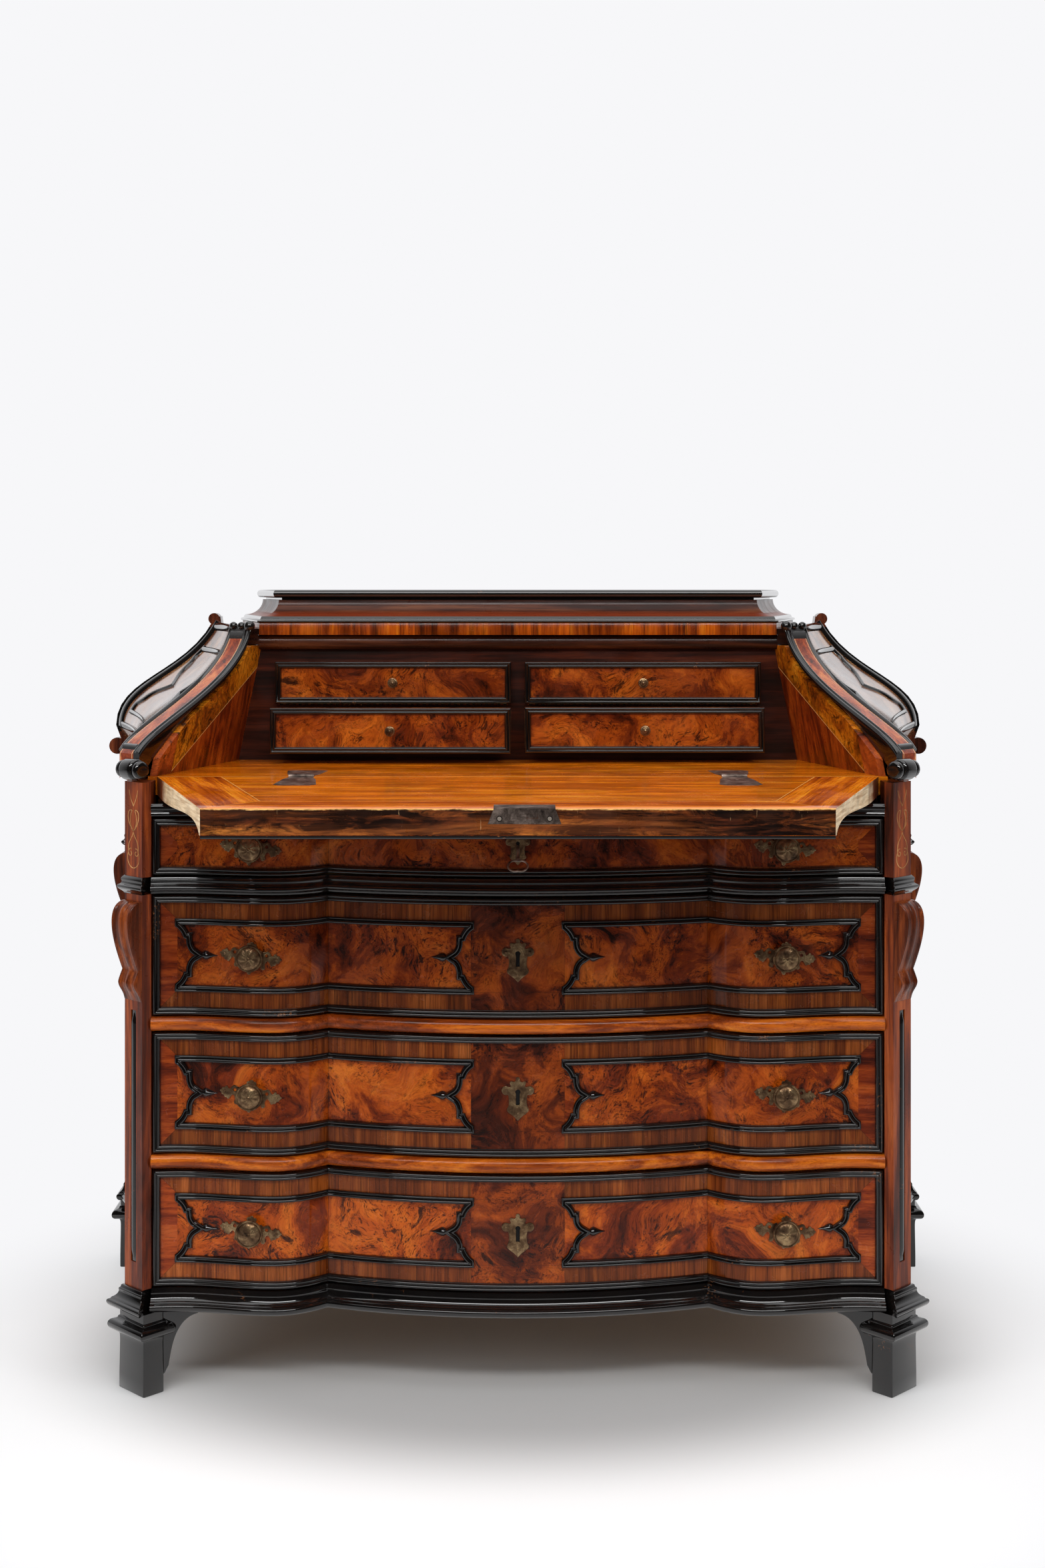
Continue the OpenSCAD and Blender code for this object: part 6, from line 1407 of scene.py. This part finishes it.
# The board under the frieze, in section: a half round in front, 21.4 mm high, and a flat board behind it
x = np.linspace(-frieze_half - 3, frieze_half + 3, 30)[:, None]
angle = np.radians(np.linspace(-90, 90, 21))
round_half, round_mid, board_low, board_back = 10.7, 983.25, 980, 394.9
round_line = np.stack([frieze_y + 18 - 8 * np.cos(angle), round_mid + round_half * np.sin(angle)], -1)
y, z = np.concatenate([round_line, [(board_back, z_frieze - 0.1), (board_back, board_low),
                                    (frieze_y + 34, board_low), (frieze_y + 34, 972.6)]]).T
rail = np.stack([x + 0 * y, y + 0 * x, z + 0 * x], -1)
# The shelf beside it, in plan: its outer edge runs along the upper end of the side slope
shelf_front, shelf_back = 136, 381.9
edge = slope(1.0, np.linspace(0, 1, 24))[:, :2] + (21, 0)
edge = edge[edge[:, 1] < 381]
plan = np.concatenate([[(-top_half(shelf_front) - 0.5, shelf_front),
                        (np.interp(shelf_front, edge[:, 1], edge[:, 0]), shelf_front)],
                       edge[edge[:, 1] > shelf_front],
                       [(edge[-1, 0], shelf_back), (-top_half(shelf_back) - 0.5, shelf_back)]])
shelf = np.stack([np.concatenate([plan, np.full((len(plan), 1), z)], 1) for z in (board_low + 0.2, 1003)])
piece("top_board_walnut", "carcase", [skin(rail), *both(skin(shelf))], [painted_shade_walnut], ["top_board"],
      40)
piece("frieze_crossbanded", "carcase",
      [skin(top_rows([(0.4, z_frieze), (0, z_frieze + 0.4), (0, z_necking - 0.4), (0.4, z_necking)]))],
      [crossband("walnut_frieze_crossband")], ["frieze"], 50)
necking = eased([(-1, z_necking + 0.05), (-3, z_necking + 0.4), (-3.2, 1014.6), (-2.4, 1015.6), (1.6, 1016.6),
                 (2, 1018), (3.2, 1020), (4, z_cove - 0.05)], 1)
nose = (z_top - z_cap) / 2
cap_line = [(28, z_cap + 0.05), (26, z_cap + 0.2),
            *((29 - nose * math.cos(a), z_cap + nose + nose * math.sin(a)) for a in
              np.linspace(-1.15, math.pi / 2, 15))]
piece("top_mouldings_ebonised", "carcase",
      [skin(top_rows(necking)), skin(top_rows(cap_line))], [black], ["top_mouldings"], 40)
hollow = [(5 + 27 * math.sin(a), z_cove + (z_dentil - z_cove) * (1 - math.cos(a))) for a in
          np.linspace(0, math.pi / 2, 17)]
piece("cove_walnut", "carcase", [skin(top_rows(hollow))], [cove_wood("walnut_cove_polished")],
      ["cove"], 40)
repaint(["dentils"], black)

# Nest of small drawers
# A walnut case with a face frame holds four small drawers in two columns. Their fronts lap over the
# frame and are veneered in root walnut; an ebonised double bead and a turned brass knob finish each.

nest_y, nest_column, small_width, small_lap = 151.909, 182.55, 345.1, 11
# Painted shade: the case and its face frame get near-black walnut tones for the shade round the small drawers
repaint(["nest_case"], straight_walnut("walnut_nest_case_painted_shade", 0, ("#100502", "#240b04", "#3c1507", "#54230c"),
                                       18.0, 0.34))

# Each drawer's body, its column, the foot and height of its front, and how far it stands open
nest = [("small_upper_left", -nest_column, 893.5, 61, 0), ("small_lower_left", -nest_column, 825.5, 65, 64),
        ("small_upper_right", nest_column, 893.5, 61, 4), ("small_lower_right", nest_column, 825.5, 65, 49)]
nest_tones = ("#240a03", "#5c2006", "#883a0a", "#ae5814")


def small_drawer_wood(name, face, seed):
    """Root walnut on the front board, and bare pine on the box behind it, from 11 mm behind the face."""
    made, tree, shader, at = finish(name)
    y = node(tree, "SeparateXYZ", {0: at})[1]
    burr, height = root_walnut(tree, at, nest_tones, seed)
    box_side = figure(tree, at, (150, 3, 150), 4, 0.6, 0.3, seed)
    bare = node(tree, "ValToRGB", {0: box_side}, [(0.32, colour("#8a5f34")), (0.6, colour("#bd9460"))])[0]
    behind = node(tree, "Math", {0: y, 1: (face + small_lap - 0.5) / 1000}, operation="GREATER_THAN")[0]
    tone = node(tree, "Mix", {0: behind, 6: burr, 7: bare}, data_type="RGBA")[2]
    polish(tree, shader, at, tone, height, 0.22)
    return made


def flat_moulding(outline, section, face):
    """A section of [inwards, out] carried round a rectangle on an upright plane at depth face, and mitred."""
    (x0, z0), (x1, z1) = outline
    inward, out = np.array(section, float).T
    left, right, low, high = x0 + inward, x1 - inward, z0 + inward, z1 - inward
    corners = ((left, low), (right, low), (right, high), (left, high))
    return skin(np.stack([np.stack([u, face - out, v], -1) for u, v in corners]), 0, True)


small_section = eased([(0, -0.05), (0, 2.2), (1, 3.6), (2.5, 3.8), (3.5, 2.6), (4.2, 2.4), (4.8, 4.2),
                       (6.2, 5), (7.8, 4.6), (8.8, 2.4), (9.4, -0.05)], 1)
small_knob = [(5.9, 0), (6, 0.8), (4.6, 1.6), (3, 2.6), (2.4, 4.6), (2.5, 7), (4, 9.4), (6.2, 11.2),
              (7.3, 12.4), (7.5, 13.8), (7.1, 15), (6, 15.6), (5.2, 15.5), (4.6, 16.4), (3.6, 17.2),
              (2.6, 17.2), (2.2, 17.8), (1.2, 18.4), (0.02, 18.5)]
for i, (body, x, z, height, drawn) in enumerate(nest):
    face = nest_y - 0.3 - drawn - small_lap
    wood = small_drawer_wood(f"root_walnut_small_drawer_{i + 1}", face, 31.0 + 4.3 * i)
    repaint([f"small_drawer_{i + 1}"], wood)
    frame_line = ((x - small_width / 2, z), (x + small_width / 2, z + height))
    points, quads, ends, _ = turned(small_knob, (x, face - 0.05, z + height / 2), 32)
    piece(f"small_trim_{i + 1}_ebonised", body,
          [flat_moulding(frame_line, small_section, face - 0.05), (points, quads, ends, 1)], [black, brass],
          [f"small_trim_{i + 1}"], 38)

# A strip of dentils on the face frame between the two rows, black blocks on a thin walnut fillet


def blocks(x, half, y, z):
    """One closed block for each x: half wide each way, between the two depths and the two heights."""
    ring = np.array([(y[0], z[0]), (y[0], z[1]), (y[1], z[1]), (y[1], z[0])])
    return [skin(np.array([[(middle + side, *corner) for corner in ring] for side in (-half, half)]))
            for middle in x]


dentil_pitch = 9.1
columns = np.array([-nest_column, nest_column])
teeth = (columns[:, None] + np.arange(-18, 19) * dentil_pitch).ravel()
piece("nest_dentils", "carcase", blocks(teeth, 2.3, (142, 147.2), (891, 893)), [black], [],
      30)
piece("nest_dentil_fillet", "carcase", blocks(columns, 168, (147, 151.95), (890.9, 893.1)),
      [straight_walnut("walnut_nest_fillet", 0, ("#3a1608", "#6a3012", "#8a4a20", "#a86432"), 9.0)], [], 30)

# Camera and light
# A long view from the front at the height of the top, in a white studio with soft light boxes from both
# sides, above and in front. Polished faces see it dark on the camera's side, and the floor fades into it.

eye = bpy.data.objects.new("camera", bpy.data.cameras.new("camera"))
eye.location = (0, -2.808, 1.060)
eye.rotation_euler = (math.radians(90), 0, 0)
eye.data.lens, eye.data.sensor_width = 46.266, 36
eye.data.shift_x, eye.data.shift_y = 0.00297, -0.1239
bpy.context.scene.collection.objects.link(eye)
bpy.context.scene.camera = eye

# Each light box: its place, width and height in metres, its watts, and the point that it faces
light_boxes = [("left_box", (-2.4, -2.2, 2.0), (1.6, 2.4), 50, (0, 0, 0.55)),
               ("right_box", (2.6, -1.8, 2.1), (1.4, 2.2), 28, (0, 0.1, 0.6)),
               ("top_box", (0, -0.5, 3.3), (3.2, 2.4), 40, (0, 0.1, 0.6)),
               ("front_box", (0, -2.2, 2.4), (2.8, 0.4), 42, (0, 0, 0.6))]
for name, place, size, power, aim in light_boxes:
    lamp = bpy.data.objects.new(name, bpy.data.lights.new(name, "AREA"))
    lamp.data.shape = "RECTANGLE"
    lamp.data.size, lamp.data.size_y = size
    lamp.data.energy = power
    lamp.location = place
    lamp.visible_glossy = name in ("top_box", "front_box")
    lamp.rotation_euler = (mathutils.Vector(aim) - lamp.location).to_track_quat("-Z", "Y").to_euler()
    bpy.context.scene.collection.objects.link(lamp)

world = bpy.data.worlds.new("studio")
world.use_nodes = True
bpy.context.scene.world = world
sky = world.node_tree
# A camera ray sees white, a mirrored one goes from dark on the camera's side to white, and the rest is soft
ray = node(sky, "LightPath")
way = node(sky, "SeparateXYZ", {0: node(sky, "TexCoord")["Generated"]})[1]
mirrored = node(sky, "MapRange", {0: way, 1: 0.0, 2: 0.6, 3: 0.02, 4: 0.95})[0]
soft = node(sky, "Mix", {0: ray["Is Glossy Ray"], 2: 0.44, 3: mirrored}, data_type="FLOAT")[0]
strength = node(sky, "Mix", {0: ray["Is Camera Ray"], 2: soft, 3: 1.0}, data_type="FLOAT")[0]
glow = sky.nodes["Background"]
glow.inputs["Color"].default_value = colour("#f7f7f9")
sky.links.new(strength, glow.inputs["Strength"])



def white_floor(name):
    """Dull white studio floor with a painted shadow: greyer under the desk, darker towards the camera in what
    polish mirrors, and from half a metre to a metre out fading into the background for the camera."""
    made, tree, shader, at = finish(name)
    y = node(tree, "SeparateXYZ", {0: at})[1]
    ray = node(tree, "LightPath")
    front = node(tree, "MapRange", {0: y, 1: -1.6, 2: 0.4, 3: 0.1, 4: 0.9})[0]
    # Painted shadow: the floor's colour falls from 0.9 to 0.45 under the desk
    squeezed = node(tree, "VectorMath", {0: at, 1: (1.4, 2.2, 0)}, operation="MULTIPLY")[0]
    around = node(tree, "VectorMath", {0: squeezed}, operation="LENGTH")[1]
    under = node(tree, "MapRange", {0: around, 1: 0.55, 2: 1.05, 3: 0.45, 4: 0.9},
                 interpolation_type="SMOOTHSTEP")[0]
    floor_shade_tone = node(tree, "Mix", {0: ray["Is Glossy Ray"], 2: under, 3: front}, data_type="FLOAT")[0]
    tree.links.new(floor_shade_tone, shader.inputs["Base Color"])
    shader.inputs["Roughness"].default_value = 0.9
    reach = node(tree, "VectorMath", {0: at}, operation="LENGTH")[1]
    far = node(tree, "MapRange", {0: reach, 1: 0.5, 2: 1.0}, interpolation_type="SMOOTHSTEP")[0]
    seen = node(tree, "Math", {0: far, 1: ray["Is Camera Ray"]}, operation="MULTIPLY")[0]
    lit = node(tree, "Emission", {"Color": colour("#f7f7f9")})[0]
    mixed = node(tree, "MixShader", {0: seen, 1: shader.outputs[0], 2: lit})[0]
    tree.links.new(mixed, tree.nodes["Material Output"].inputs["Surface"])
    return made


mesh = bpy.data.meshes.new("floor")
mesh.from_pydata([(-9, -4, 0), (9, -4, 0), (9, 12, 0), (-9, 12, 0)], [], [(0, 1, 2, 3)])
mesh.materials.append(white_floor("studio_floor"))
floor = bpy.data.objects.new("floor", mesh)
bpy.context.scene.collection.objects.link(floor)

bpy.context.scene.view_settings.view_transform = "Standard"
